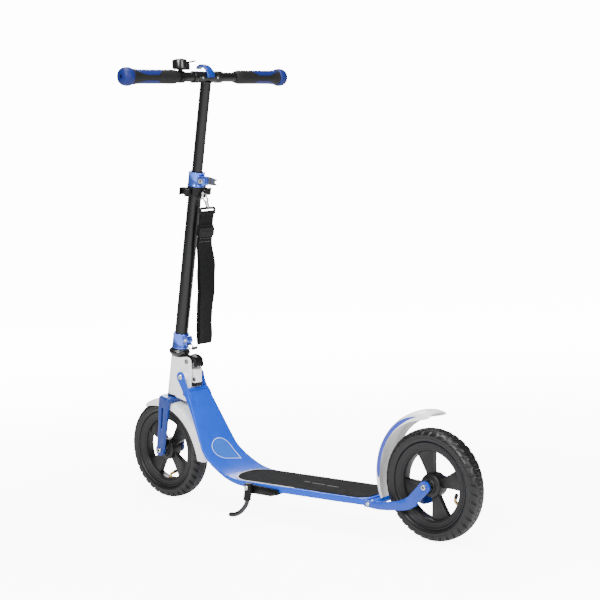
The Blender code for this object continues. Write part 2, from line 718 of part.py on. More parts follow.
def clip_collar(holder):
    """A ring with two open clips that store the handles, and a tab for the strap's hook."""
    ring = revolve([(0.0156, CLIP_LOW), (0.0192, CLIP_LOW), (0.0192, CLIP_TOP), (0.0156, CLIP_TOP)], 32)
    height = CLIP_TOP - CLIP_LOW - 0.004
    clips = []
    for side in (1, -1):
        arc = [math.radians(a) for a in range(40, 321, 28)]
        outer = [(0.0135 * math.cos(a), 0.0135 * math.sin(a)) for a in arc]
        inner = [(0.0112 * math.cos(a), 0.0112 * math.sin(a)) for a in arc[::-1]]
        clip = loft([[(y, -side * -x, z) for x, y in outer + inner] for z in (0, height)])
        clips.append(moved(clip, 0, side * 0.0315, CLIP_LOW + 0.002))
    tab = box((-0.0330, -0.0015, CLIP_LOW + 0.002), (-0.0175, 0.0015, CLIP_TOP - 0.003))
    hole = rod((-0.0280, -0.01, CLIP_LOW + 0.0095), (-0.0280, 0.01, CLIP_LOW + 0.0095), 0.0030, 12)
    node(
        "clip_collar",
        ring,
        "black_plastic",
        holder,
        STEER,
        joins=[*clips, tab],
        cuts=[hole, rod((0, 0, 0.6), (0, 0, 0.7), 0.0156, 32)],
    )


def height_clamp(holder, lever_holder):
    low, middle = CLAMP_LOW, QR_MIDDLE
    ring = revolve([(0.0156, low), (0.0188, low), (0.0188, CLAMP_TOP), (0.0156, CLAMP_TOP)], 32)
    ear = box((-0.0300, -0.0095, middle - 0.0105), (-0.0165, 0.0095, middle + 0.0105))
    slit = box((-0.0400, -0.0011, low - 0.001), (-0.0100, 0.0011, CLAMP_TOP + 0.001))
    hole = rod((-0.0245, -0.02, middle), (-0.0245, 0.02, middle), 0.0032, 12)
    node("height_clamp", ring, "anodised_blue", holder, STEER, joins=[ear], cuts=[slit, hole])
    screw = bolt(-0.0100, 0.0098, 0.0028, 0.0066, 0.0035)
    tail = box((-0.01, -0.02, -0.01), (0.01, -0.0102, 0.01))
    for shape in (screw, tail):
        moved(shape, -0.0245, 0, middle)
    node("clamp_bolt", screw, "steel", holder, STEER, cuts=[tail])
    y = QR_Y
    barrel = rod((-0.0245, y, middle - 0.0085), (-0.0245, y, middle + 0.0085), 0.0040, 16)
    arm = box((-0.0470, y - 0.0040, middle - 0.0080), (-0.0245, y + 0.0020, middle + 0.0080))
    notch = box((-0.0500, y - 0.0100, middle - 0.0020), (-0.0420, y + 0.0100, middle + 0.0020))
    node("quick_release_lever", barrel, "black_plastic", lever_holder, STEER, joins=[arm], cuts=[notch])


# Carry strap, on the back of the stem

STRAP_BACK = -0.0480
STRAP_WIDE = 0.0400
STRAP_TOP = 0.5760
STRAP_LOW = 0.2680


def strap_shift(height):
    """How far the hanging webbing lies to the right of the stem."""
    return -0.0030 - 0.0150 * sweep_blend((0.56 - height) / 0.20)


def strap(holder):
    sections = []
    count = 12
    for i in range(count + 1):
        height = STRAP_TOP + (STRAP_LOW - STRAP_TOP) * i / count
        half, middle = STRAP_WIDE / 2, strap_shift(height)
        thick = 0.0024 + 0.0026 * sweep_blend(i / 3)
        ring = [(-thick, -half), (thick, -half), (thick, half), (-thick, half)]
        sections.append([(STRAP_BACK + fwd, middle + y, height) for fwd, y in ring])
    node("carry_strap", loft(sections), "webbing", holder, STEER)


def strap_hardware(holder):
    top = STRAP_TOP + 0.0062
    half = STRAP_WIDE / 2 + 0.0030
    middle = strap_shift(STRAP_TOP)
    corners = [(half, -0.0040), (half, 0.0040), (-half, 0.0040), (-half, -0.0040)]
    ring = [(STRAP_BACK, middle + y, top + h) for y, h in corners]
    node("strap_ring", wire(ring, 0.0016, 8, closed=True), "black_paint", holder, STEER)
    slide = STRAP_TOP - 0.0420
    middle = strap_shift(slide)
    frame_box, window = [
        box(
            (STRAP_BACK - deep, middle - half + wall, slide - tall),
            (STRAP_BACK + deep, middle + half - wall, slide + tall),
        )
        for deep, wall, tall in ((0.0066, 0.0, 0.010), (0.0053, 0.0016, 0.020))
    ]
    node("strap_slider", frame_box, "black_plastic", holder, STEER, cuts=[window])
    start = CLIP_LOW + 0.0095
    loop = [
        (-0.0280, 0.0055, start),
        (-0.0280, -0.0055, start),
        (-0.0340, -0.0062, start - 0.0090),
        (-0.0390, 0.0, start - 0.0150),
        (-0.0340, 0.0062, start - 0.0090),
    ]
    hook = wire(loop, 0.0017, 8, closed=True)
    barrel = rod((-0.0385, 0, start - 0.0140), (-0.0460, 0, top + 0.0062), 0.0040, 12)
    node("upper_snap_hook", hook, "steel", holder, STEER, joins=[barrel])
    low = COVER_TOP + CLEARANCE
    eye = [
        (-0.0315, 0.0060, low + 0.0150),
        (-0.0315, -0.0060, low + 0.0150),
        (-0.0370, -0.0060, low + 0.0080),
        (-0.0400, 0.0, low + 0.0070),
        (-0.0370, 0.0060, low + 0.0080),
    ]
    hook = wire(eye, 0.0017, 8, closed=True)
    barrel = rod((-0.0395, 0, low + 0.0075), (-0.0470, -0.0100, low + 0.0115), 0.0038, 12)
    node("lower_snap_hook", hook, "black_paint", holder, STEER, joins=[barrel])


# Upper stem and handles


def upper_stem(holder, button_holder):
    top = BAR_S - 0.0138
    tube = revolve([(0.0100, 0.500), (UPPER_TUBE_R, 0.500), (UPPER_TUBE_R, top), (0.0100, top)], 32)
    hole = rod(towards_button(0.006, BUTTON_S), towards_button(0.016, BUTTON_S), 0.0030, 12)
    node("upper_tube", tube, "black_paint", holder, STEER, cuts=[hole])
    button = rod(towards_button(0.0080, BUTTON_S), towards_button(0.0182, BUTTON_S), 0.0026, 12)
    node("height_button", button, "steel", button_holder, STEER)
    profile = [(0.0111, 0.0), (0.0125, 0.0), (0.0125, 0.0255), (0.0133, 0.0265), (0.0133, SLEEVE_END)]
    profile += [(0.0111, SLEEVE_END)]
    right = [(r, -y) for r, y in profile[1:][::-1]]
    sleeve = revolve([(0.0111, SLEEVE_END), (0.0111, -SLEEVE_END), *right[1:-1], *profile[2:-1]], 32)
    sleeve.transform(ALONG_Y)
    moved(sleeve, z=BAR_S)
    stub = rod((0, 0, top + CLEARANCE), (0, 0, BAR_S - 0.0105), UPPER_TUBE_R, 32)
    clear = rod((0, -0.05, BAR_S), (0, 0.05, BAR_S), 0.0111, 32)
    holes = [
        rod((-0.009, y, BAR_S), (-0.016, y, BAR_S), 0.0032, 12) for y in (HANDLE_BUTTON_Y, -HANDLE_BUTTON_Y)
    ]
    node("t_piece", sleeve, "black_paint", holder, STEER, joins=[stub], cuts=[clear, *holes])


def carry_hook(holder):
    """A curved blue hook over the T-piece, open at the front."""
    outer = [(-0.0165, BAR_S + 0.0010), (-0.0150, BAR_S + 0.0100), (-0.0080, BAR_S + 0.0195)]
    outer += [(0.0030, BAR_S + 0.0255), (0.0150, BAR_S + 0.0265), (0.0245, BAR_S + 0.0225)]
    outer.append((0.0290, BAR_S + 0.0145))
    inner = [(0.0215, BAR_S + 0.0135), (0.0170, BAR_S + 0.0190), (0.0080, BAR_S + 0.0195)]
    inner += [(-0.0010, BAR_S + 0.0165), (-0.0080, BAR_S + 0.0125), (-0.0118, BAR_S + 0.0075)]
    inner.append((-0.0136, BAR_S + 0.0010))
    node("carry_hook", plate(outer + inner, -0.0115, 0.0115), "anodised_blue", holder, STEER)


def handle(word, side, holder, button_holder):
    tube = revolve([(0.0090, 0.0105), (HANDLE_R, 0.0105), (HANDLE_R, 0.2380), (0.0090, 0.2380)], 24)
    outwards = ALONG_Y if side > 0 else ALONG_Y @ Matrix.Rotation(math.pi, 4, "X")
    place = Matrix.Translation((0, 0, BAR_S)) @ outwards
    tube.transform(place)
    y = side * HANDLE_BUTTON_Y
    hole = rod((-0.006, y, BAR_S), (-0.014, y, BAR_S), 0.0030, 12)
    node(f"{word}_handle_tube", tube, "black_paint", holder, STEER, cuts=[hole])
    button = rod((-0.0070, y, BAR_S), (-0.0146, y, BAR_S), 0.0026, 12)
    node(f"{word}_handle_button", button, "steel", button_holder, STEER)
    profile = [(0.0110, GRIP_START), (0.0120, GRIP_START), (0.0132, 0.0890), (0.0152, 0.0970)]
    profile += [(0.0156, 0.1040), (0.0150, 0.1500), (0.0152, 0.2030), (0.0160, 0.2060)]
    profile += [(0.0152, 0.2090), (0.0168, 0.2125)]
    profile += [(0.0196, 0.2200), (0.0203, 0.2310), (0.0190, 0.2410), (0.0150, 0.2475), (0.0090, GRIP_END)]
    profile += [(0.0045, GRIP_END - 0.0005), (0.0045, GRIP_END - 0.0030), (0.0, GRIP_END - 0.0030)]
    profile += [(0.0, 0.2384), (0.0110, 0.2384)]
    grip = revolve(profile, 18)
    grip.transform(place)
    node(f"{word}_grip", grip, "rubber", holder, STEER)


# Bell, upright on the left handle

BELL_FRAME = STEER @ Matrix.Translation((0, BELL_Y, BAR_S)) @ Matrix.Rotation(STEERING_TILT, 4, "Y")
BELL_LOW = 0.0170
BELL_TOP = 0.0400
STRIKER_Y = -0.0245


def bell(holder, lever_holder):
    clamp = revolve([(0.0110, -0.0068), (0.0135, -0.0068), (0.0135, 0.0058), (0.0110, 0.0058)], 24)
    clamp.transform(ALONG_Y)
    post = rod((0, -0.001, 0.0120), (0, -0.001, BELL_LOW + 0.001), 0.0055, 16)
    core = rod((0, 0, BELL_LOW), (0, 0, BELL_TOP - 0.0028), 0.0142, 24)
    shelf = box((-0.0040, STRIKER_Y - 0.0030, BELL_LOW - 0.0018), (0.0040, 0.0, BELL_LOW + 0.0008))
    node("bell_base", clamp, "black_plastic", holder, BELL_FRAME, joins=[post, core, shelf])
    low = BELL_LOW + 0.0012
    cup = [(0.0146, low), (0.0165, low), (0.0165, BELL_TOP - 0.0035), (0.0150, BELL_TOP - 0.0012)]
    cup += [(0.0080, BELL_TOP), (0.0, BELL_TOP), (0.0, BELL_TOP - 0.0023), (0.0146, BELL_TOP - 0.0023)]
    node("bell_cup", revolve(cup, 28), "black_paint", holder, BELL_FRAME)
    striker = rod((0, STRIKER_Y, BELL_LOW + 0.0012), (0, STRIKER_Y, BELL_LOW + 0.0125), 0.0045, 16)
    arm = wire(
        [(0.0035, STRIKER_Y + 0.0030, BELL_LOW + 0.0140), (-0.0180, STRIKER_Y - 0.0060, BELL_LOW + 0.0165)],
        0.0019,
        8,
    )
    peg = rod((0, STRIKER_Y, BELL_LOW + 0.0100), (0, STRIKER_Y, BELL_LOW + 0.0155), 0.0022, 12)
    node("bell_lever", striker, "black_plastic", lever_holder, BELL_FRAME, joins=[peg, arm])


def placed(name, spot, frame=WORLD, parent=None):
    return pivot(name, frame @ Matrix.Translation(spot), parent)


def build():
    clear_scene()
    make_materials()
    neck_and_deck()
    rear_arm("left_rear_arm", 1)
    rear_arm("right_rear_arm", -1)
    grip_mat()
    latch_block()
    frame_fasteners()
    brake_spring()
    kickstand_bracket()

    spin = placed("rear_wheel_axis", (REAR_X, 0, WHEEL_R))
    wheel("rear", spin, world_of[spin.name], math.radians(77), math.radians(-157))
    rear_fender(placed("brake_axis", (BRAKE_PIN[0], 0, BRAKE_PIN[1])))
    kickstand(placed("kickstand_axis", (STAND_PIVOT[0], 0.074, STAND_PIVOT[1])))

    fold = placed("fold_axis", (FOLD_PIVOT[0], 0, FOLD_PIVOT[1]))
    head_bracket(fold)
    head_hardware(fold)
    latch_lever(placed("latch_axis", (LATCH_PIVOT[0], 0, LATCH_PIVOT[1]), parent=fold))

    steering = pivot("steering_axis", STEER, fold)
    fork(steering)
    front_fender(steering)
    stem_collars(steering)
    clip_collar(steering)
    height_clamp(steering, placed("quick_release_axis", (-0.0245, QR_Y, QR_MIDDLE), STEER, steering))
    strap(steering)
    strap_hardware(steering)
    spin = placed("front_wheel_axis", (FRONT_X, 0, WHEEL_R), parent=steering)
    wheel("front", spin, world_of[spin.name], math.radians(47), math.radians(-86))

    stem = placed("stem_slide", (0, 0, BAR_S), STEER, steering)
    spot = towards_button(UPPER_TUBE_R, BUTTON_S)
    upper_stem(stem, placed("height_button_axis", spot, STEER, stem))
    carry_hook(stem)
    for word, side in (("left", 1), ("right", -1)):
        slide = placed(f"{word}_handle_slide", (0, side * SLEEVE_END, BAR_S), STEER, stem)
        spot = (-0.0125, side * HANDLE_BUTTON_Y, BAR_S)
        handle(word, side, slide, placed(f"{word}_button_axis", spot, STEER, slide))
        if side > 0:
            bell(slide, placed("bell_lever_axis", (0, STRIKER_Y, BELL_LOW), BELL_FRAME, slide))


build()
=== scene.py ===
"""Folding kick scooter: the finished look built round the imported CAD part."""

import json
import math

import bmesh
import bpy
from mathutils import Matrix, Vector


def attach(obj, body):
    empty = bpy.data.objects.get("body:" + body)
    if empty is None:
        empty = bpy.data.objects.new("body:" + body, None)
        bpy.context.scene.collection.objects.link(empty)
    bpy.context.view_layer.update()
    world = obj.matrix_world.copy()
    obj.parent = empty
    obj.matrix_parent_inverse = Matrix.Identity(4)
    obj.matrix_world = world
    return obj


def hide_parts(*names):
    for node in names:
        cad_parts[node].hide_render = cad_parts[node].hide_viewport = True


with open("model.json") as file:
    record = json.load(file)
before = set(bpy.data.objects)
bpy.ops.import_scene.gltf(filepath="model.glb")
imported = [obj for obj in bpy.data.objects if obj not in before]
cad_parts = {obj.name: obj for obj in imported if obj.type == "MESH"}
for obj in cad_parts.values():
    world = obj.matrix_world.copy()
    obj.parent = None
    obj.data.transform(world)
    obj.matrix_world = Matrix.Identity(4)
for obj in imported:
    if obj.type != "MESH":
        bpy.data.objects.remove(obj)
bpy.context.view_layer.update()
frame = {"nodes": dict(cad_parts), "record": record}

# Shared dimensions, in metres: the same as the CAD part's
WHEEL_R = 0.115
REAR_X, FRONT_X = -0.394, 0.394
TILT = math.radians(12.5)
DECK_TOP = 0.0805
DECK_HALF = 0.0625
SHEET = 0.003
FOLD_PIVOT = (0.31, 0.293)
LATCH_PIVOT = (0.301, 0.328)
BAR_S = 0.876
BELL_Y = 0.0785
BELL_LOW, BELL_TOP = 0.017, 0.04
BELL_STRIKER_Y = -0.0245
CLAMP_LOW, CLAMP_HIGH = 0.6288, 0.662
CLAMP_MIDDLE = (CLAMP_LOW + CLAMP_HIGH) / 2
CLIP_HEIGHT = 0.6165
LOWER_BOLT = (0.313, 0.252)

WORLD = Matrix.Identity(4)
STEER = Matrix.Translation((FRONT_X, 0, WHEEL_R)) @ Matrix.Rotation(-TILT, 4, "Y")
ALONG_Y = Matrix.Rotation(-math.pi / 2, 4, "X")
BAR = STEER @ Matrix.Translation((0, 0, BAR_S))
BELL = STEER @ Matrix.Translation((0, BELL_Y, BAR_S)) @ Matrix.Rotation(TILT, 4, "Y")
materials = {}


# Materials


def add(tree, kind, **inputs):
    """A shader node with its inputs set to values or linked to other nodes' outputs."""
    made = tree.nodes.new(kind)
    for name, value in inputs.items():
        socket = made.inputs[name.replace("_", " ")]
        if isinstance(value, bpy.types.NodeSocket):
            tree.links.new(value, socket)
        else:
            socket.default_value = value
    return made


def ramp(tree, fac, stops):
    made = add(tree, "ShaderNodeValToRGB", Fac=fac)
    while len(made.color_ramp.elements) < len(stops):
        made.color_ramp.elements.new(0.5)
    for element, (place, colour) in zip(made.color_ramp.elements, stops):
        element.position = place
        element.color = (*colour, 1.0)
    return made.outputs["Color"]


def noise(tree, scale, detail=4.0):
    place = add(tree, "ShaderNodeTexCoord").outputs["Object"]
    return add(tree, "ShaderNodeTexNoise", Vector=place, Scale=scale, Detail=detail).outputs["Fac"]


def finish(
    name, colour, roughness, metallic=0.0, coat=0.0, vary=0.06, grain=900.0, bump=0.03, shine=0.5
):
    """A material with a little wear in its colour and gloss and a fine surface grain."""
    material = bpy.data.materials.new(name)
    material.use_nodes = True
    tree = material.node_tree
    shader = tree.nodes["Principled BSDF"]
    broad = noise(tree, 35.0)
    low = tuple(c * (1 - vary) for c in colour)
    high = tuple(min(1.0, c * (1 + vary)) for c in colour)
    tree.links.new(ramp(tree, broad, [(0.3, low), (0.7, high)]), shader.inputs["Base Color"])
    dull, bright = roughness * 1.12, roughness * 0.88
    gloss = add(tree, "ShaderNodeMapRange", Value=noise(tree, 120.0), To_Min=bright, To_Max=dull)
    tree.links.new(gloss.outputs["Result"], shader.inputs["Roughness"])
    shader.inputs["Metallic"].default_value = metallic
    shader.inputs["Coat Weight"].default_value = coat
    shader.inputs["Coat Roughness"].default_value = 0.12
    shader.inputs["Specular IOR Level"].default_value = shine
    fine = noise(tree, grain, 3.0)
    edge = add(tree, "ShaderNodeBevel", Radius=0.0004)
    edge.samples = 4
    softened = edge.outputs["Normal"]
    dent = add(tree, "ShaderNodeBump", Strength=bump, Distance=0.0004, Height=fine, Normal=softened)
    tree.links.new(dent.outputs["Normal"], shader.inputs["Normal"])
    materials[name] = material
    return material


def cloth_finish(name, colour):
    """Woven webbing: two crossed waves make the weave."""
    material = finish(name, colour, 0.85, vary=0.15, bump=0.0, shine=0.12)
    tree = material.node_tree
    shader = tree.nodes["Principled BSDF"]
    place = add(tree, "ShaderNodeTexCoord").outputs["Object"]
    across = add(tree, "ShaderNodeTexWave", Vector=place, Scale=260.0, Distortion=0.4)
    across.bands_direction = "Y"
    along = add(tree, "ShaderNodeTexWave", Vector=place, Scale=330.0, Distortion=0.4)
    along.bands_direction = "Z"
    weave = add(tree, "ShaderNodeMath")
    weave.operation = "MULTIPLY"
    tree.links.new(across.outputs["Fac"], weave.inputs[0])
    tree.links.new(along.outputs["Fac"], weave.inputs[1])
    dent = add(tree, "ShaderNodeBump", Strength=0.5, Distance=0.0005, Height=weave.outputs["Value"])
    tree.links.new(dent.outputs["Normal"], shader.inputs["Normal"])
    shader.inputs["Sheen Weight"].default_value = 0.08
    shader.inputs["Sheen Roughness"].default_value = 0.5


def make_materials():
    finish("blue_paint", (0.003, 0.06, 0.5), 0.38, coat=0.1, shine=0.3)
    finish("fork_blue", (0.004, 0.028, 0.21), 0.36, coat=0.15, shine=0.35)
    finish("anodised_blue", (0.11, 0.2, 0.8), 0.22, metallic=0.85, bump=0.02)
    finish("white_plastic", (0.84, 0.84, 0.835), 0.38, coat=0.15, vary=0.02)
    finish("white_paint", (0.9, 0.9, 0.895), 0.32, coat=0.4, vary=0.02)
    finish("black_tube", (0.004, 0.004, 0.0043), 0.3, grain=1400.0, bump=0.06, shine=0.38)
    finish("black_plastic", (0.0025, 0.0025, 0.0027), 0.45, bump=0.12, shine=0.25)
    finish("rim_grey", (0.005, 0.005, 0.0052), 0.4, bump=0.08, shine=0.35)
    finish("tyre", (0.003, 0.003, 0.0031), 0.4, bump=0.1, grain=1200.0, shine=0.42)
    finish("rubber", (0.004, 0.004, 0.0042), 0.6, bump=0.15, shine=0.3)
    finish("grip_blue", (0.003, 0.012, 0.115), 0.5, bump=0.12, shine=0.3)
    finish("mat_grit", (0.007, 0.007, 0.0068), 0.9, vary=0.35, grain=2600.0, bump=0.9, shine=0.15)
    finish("mat_line", (0.6, 0.6, 0.62), 0.7, grain=2600.0, bump=0.5)
    finish("steel", (0.6, 0.6, 0.61), 0.25, metallic=1.0)
    finish("dark_steel", (0.12, 0.12, 0.125), 0.35, metallic=0.9)
    finish("grey_metal", (0.5, 0.5, 0.5), 0.38, metallic=0.7)
    finish("brass", (0.62, 0.42, 0.16), 0.3, metallic=1.0)
    finish("decal_light", (0.42, 0.56, 0.88), 0.35, coat=0.3)
    finish("decal_blue", (0.01, 0.032, 0.36), 0.35, coat=0.3)
    finish("gloss_black", (0.004, 0.004, 0.0043), 0.25, coat=0.3, bump=0.0)
    # painted shade: a darker copy of blue_paint, for the shade on the rear arms
    finish("shaded_arm_blue", (0.002, 0.042, 0.36), 0.32, coat=0.25, shine=0.4)
    finish("mat_mark", (0.075, 0.075, 0.075), 0.85, bump=0.3)
    finish("decal_pale", (0.02, 0.11, 0.5), 0.4, shine=0.3)
    finish("lever_grey", (0.1, 0.1, 0.102), 0.4, metallic=0.4, bump=0.1)
    finish("black_metal", (0.006, 0.006, 0.0065), 0.3, coat=0.25)
    finish("thread", (0.1, 0.1, 0.105), 0.7, bump=0.0)
    # painted shade: a near-black that stands for the shade inside the stem's height holes and the axle
    # bolts' hex sockets
    finish("painted_hole_shade", (0.002, 0.002, 0.002), 0.9, bump=0.0)
    cloth_finish("webbing", (0.0012, 0.0012, 0.0012))


# Pieces


def shown(name, mesh, material, body, sharp):
    """An object for a mesh, in one material, that moves with a body."""
    mesh.materials.clear()
    mesh.materials.append(materials[material])
    mesh.shade_smooth()
    mesh.set_sharp_from_angle(angle=math.radians(sharp))
    obj = bpy.data.objects.new(name, mesh)
    bpy.context.scene.collection.objects.link(obj)
    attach(obj, body)
    return obj


def round_edges(obj, width, sharp):
    edge = obj.modifiers.new("round_edges", "BEVEL")
    edge.width = width
    edge.segments = 3
    edge.limit_method = "ANGLE"
    edge.angle_limit = math.radians(sharp)
    edge.harden_normals = True


def place(name, bm, material, body, where=WORLD, replaces=(), bevel=0.0, sharp=35, slot=None):
    """A finished piece that moves with a body, standing for the CAD nodes it replaces."""
    bm.transform(where)
    bmesh.ops.recalc_face_normals(bm, faces=bm.faces)
    mesh = bpy.data.meshes.new(name)
    bm.to_mesh(mesh)
    bm.free()
    obj = shown(name, mesh, material, body, sharp)
    if bevel:
        round_edges(obj, bevel, sharp)
    if replaces:
        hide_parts(*replaces)
    return obj


REFINED_SHARP = 30


def refined(name, node, material, width):
    """A copy of a CAD node with its edges rounded."""
    body = next(word for word, held in frame["record"]["behaviour"]["bodies"].items() if node in held)
    mesh = frame["nodes"][node].data.copy()
    mesh.name = name
    obj = shown(name, mesh, material, body, REFINED_SHARP)
    weld = obj.modifiers.new("weld", "WELD")
    weld.merge_threshold = 0.00002
    flat = obj.modifiers.new("planar", "DECIMATE")
    flat.decimate_type = "DISSOLVE"
    flat.angle_limit = math.radians(1.0)
    round_edges(obj, width, REFINED_SHARP)
    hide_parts(node)


# Building helpers: each shape helper returns a new bmesh

SIDES = ((1, "left"), (-1, "right"))


def circle(radius, count):
    turn = 2 * math.pi / count
    angles = [i * turn for i in range(count)]
    return [(radius * math.cos(a), radius * math.sin(a)) for a in angles]


def revolve(profile, steps):
    """Turns a closed outline of (radius, height) points about Z. Points on the axis become poles."""
    bm = bmesh.new()
    rings = []
    for radius, height in profile:
        spots = circle(radius, steps) if radius > 1e-6 else [(0.0, 0.0)]
        rings.append([bm.verts.new((x, y, height)) for x, y in spots])
    for low, high in zip(rings, rings[1:] + rings[:1]):
        if len(low) == len(high) == 1:
            continue
        for i in range(steps):
            j = (i + 1) % steps
            corners = [low[i % len(low)], low[j % len(low)], high[j % len(high)], high[i % len(high)]]
            bm.faces.new(list(dict.fromkeys(corners)))
    return bm


def loft(sections, closed=False):
    """Skins a run of equal rings, and caps its two ends unless the run closes on itself."""
    bm = bmesh.new()
    rings = [[bm.verts.new(point) for point in section] for section in sections]
    following = rings[1:] + rings[:1] if closed else rings[1:]
    for first, second in zip(rings, following):
        for i in range(len(first)):
            j = (i + 1) % len(first)
            bm.faces.new((first[i], first[j], second[j], second[i]))
    if not closed:
        bm.faces.new(rings[0][::-1])
        bm.faces.new(rings[-1])
    return bm


def plate(outline, y_low, y_high):
    return loft([[(x, y, z) for x, z in outline] for y in (y_low, y_high)])


def box(low, high):
    return plate(rectangle(low[0], high[0], low[2], high[2]), low[1], high[1])


def rectangle(u_low, u_high, v_low, v_high):
    return [(u_low, v_low), (u_high, v_low), (u_high, v_high), (u_low, v_high)]


def flipped(points):
    """The mirror image of (u, v) points across v = 0, in reverse order."""
    return [(u, -v) for u, v in points[::-1]]


def mirrored(half):
    """A profile of (radius, y) points, carried on to its mirror image across y = 0."""
    return half + flipped(half)


def between(side, inner, outer):
    """The low and the high y of a slab on one side of the middle."""
    return sorted((side * inner, side * outer))


def about(x, z, offsets):
    return [(x + across, z + up) for across, up in offsets]


def along_line(start, end):
    """The matrix that lays the Z axis from one point towards another."""
    return Matrix.Translation(start) @ (end - start).to_track_quat("Z", "Y").to_matrix().to_4x4()


def rod(start, end, radius, sides=32, bore=0.0):
    start, end = Vector(start), Vector(end)
    length = (end - start).length
    bm = revolve([(bore, 0), (radius, 0), (radius, length), (bore, length)], sides)
    bm.transform(along_line(start, end))
    return bm


def smooth_path(points, per_span):
    """Points along a Catmull-Rom curve through the given ones."""
    points = [Vector(p) for p in points]
    ends = [2 * points[0] - points[1], *points, 2 * points[-1] - points[-2]]
    path = []
    for a, b, c, d in zip(ends, ends[1:], ends[2:], ends[3:]):
        for k in range(per_span):
            t = k / per_span
            square, cube = 2 * a - 5 * b + 4 * c - d, 3 * b - a - 3 * c + d
            path.append(0.5 * (2 * b + (c - a) * t + square * t**2 + cube * t**3))
    return path + [points[-1]]


def wire(points, radius, sides=16, closed=False):
    points = [Vector(p) for p in points]
    count = len(points)
    sections = []
    side = None
    for i, point in enumerate(points):
        before = points[i - 1] if closed or i else points[0]
        after = points[(i + 1) % count] if closed or i < count - 1 else points[-1]
        along = (after - before).normalized()
        if side is None:
            side = along.orthogonal().normalized()
        side = (side - along * side.dot(along)).normalized()
        other = along.cross(side)
        sections.append([point + side * x + other * y for x, y in circle(radius, sides)])
    return loft(sections, closed)


def joined(*shapes):
    """Several bmeshes as one."""
    whole = bmesh.new()
    for shape in shapes:
        mesh = bpy.data.meshes.new("part")
        shape.to_mesh(mesh)
        shape.free()
        whole.from_mesh(mesh)
        bpy.data.meshes.remove(mesh)
    return whole


def moved(bm, x=0.0, y=0.0, z=0.0):
    bm.transform(Matrix.Translation((x, y, z)))
    return bm


def ease(t):
    t = min(max(t, 0.0), 1.0)
    return t * t * (3 - 2 * t)


def rounded(outline, radius, steps=4):
    """An outline of 2-D points with each corner rounded."""
    count = len(outline)
    made = []
    for i in range(count):
        before, corner, after = (Vector(outline[(i + k) % count]) for k in (-1, 0, 1))
        reach = min(radius, (before - corner).length * 0.45, (after - corner).length * 0.45)
        start = corner + (before - corner).normalized() * reach
        end = corner + (after - corner).normalized() * reach
        for k in range(steps + 1):
            t = k / steps
            made.append(tuple((1 - t) ** 2 * start + 2 * t * (1 - t) * corner + t**2 * end))
    return made


def paint_frame():
    """Each CAD node takes the finish of its slot in the record."""
    slot_of = {part["node"]: part["material_slot"] for part in frame["record"]["subparts"]}
    for name, obj in frame["nodes"].items():
        obj.data.materials.clear()
        obj.data.materials.append(materials[slot_of[name]])


# The neck and deck: (forward, height, half width, flange depth) along the bent plate
PLATE_LINE = (
    (-0.2575, DECK_TOP, 0.06, 0.0128),
    (-0.15, DECK_TOP, DECK_HALF, 0.0133),
    (0.04, DECK_TOP, DECK_HALF, 0.0133),
    (0.1, 0.0808, 0.0622, 0.0115),
    (0.133, 0.084, 0.0618, 0.008),
    (0.164, 0.094, 0.0605, 0.0055),
    (0.197, 0.112, 0.0585, 0.0045),
    (0.22, 0.132, 0.055, 0.0045),
    (0.235, 0.157, 0.051, 0.0045),
    (0.256, 0.2, 0.044, 0.006),
    (0.276, 0.24, 0.0375, 0.0095),
    (0.288, 0.262, 0.033, 0.012),
)


def plate_stations(per_span):
    """(point, rider-side normal, half width, flange depth) along the plate."""
    line = smooth_path([(x, z, half) for x, z, half, _ in PLATE_LINE], per_span)
    depths = smooth_path([(depth, 0, 0) for *_, depth in PLATE_LINE], per_span)
    stations = []
    for i, (spot, depth) in enumerate(zip(line, depths)):
        ahead = line[min(i + 1, len(line) - 1)] - line[max(i - 1, 0)]
        along = Vector((ahead.x, 0, ahead.y)).normalized()
        stations.append((Vector((spot.x, 0, spot.y)), Vector((-along.z, 0, along.x)), spot.z, depth.x))
    return stations


PLATE_STATIONS = plate_stations(24)


def deck_skin():
    """The bent plate with its two down-turned flanges."""
    r = 0.0022
    quarter = [math.pi / 2 * k / 4 for k in range(5)]
    sections = []
    for point, normal, half, depth in plate_stations(12):
        bend = [(half - r + r * math.sin(a), -r + r * math.cos(a)) for a in quarter]
        outer = [(half, -depth)] + bend[::-1]
        thin = half - SHEET
        inner = [(thin, -depth), (thin, -SHEET - 0.0008), (thin - 0.0008, -SHEET)]
        ring = outer + [(-y, n) for y, n in outer[::-1]] + [(-y, n) for y, n in inner] + inner[::-1]
        sections.append([point + Vector((0, y, 0)) + normal * n for y, n in ring])
    place("deck_skin", loft(sections), "blue_paint", "frame", replaces=["neck_and_deck"], sharp=40)


def neck_top():
    """The neck's chamfered top edge, and the two arms that hold the fold pivot."""
    end, normal, half, _ = PLATE_STATIONS[-1]
    ahead = (end - PLATE_STATIONS[-3][0]).normalized()
    lip = []
    for reach, wide in ((-0.002, half), (0.003, half), (0.0068, half - 0.0045)):
        ring = rectangle(-wide, wide, -SHEET, 0.0)
        lip.append([end + ahead * reach + normal * n + Vector((0, y, 0)) for y, n in ring])
    place("neck_lip", loft(lip), "blue_paint", "frame", bevel=0.0005)
    x, z = FOLD_PIVOT
    end_r = 0.0122
    arc = [math.radians(a) for a in range(-50, 191, 10)]
    outline = [(x + end_r * math.cos(a), z + end_r * math.sin(a)) for a in arc]
    outline += [(0.2895, 0.26), (0.264, 0.211), (0.27, 0.2085), (0.286, 0.225)]
    for side, word in SIDES:
        low, high = between(side, 0.0285, 0.0325)
        place(f"neck_arm_{word}", plate(outline, low, high), "blue_paint", "frame", bevel=0.0007)
    corners = [(0.27, 0.22), (0.286, 0.258), (0.2905, 0.2555), (0.2745, 0.2175)]
    place("neck_brace", plate(corners, -0.031, 0.031), "blue_paint", "frame", bevel=0.0006)


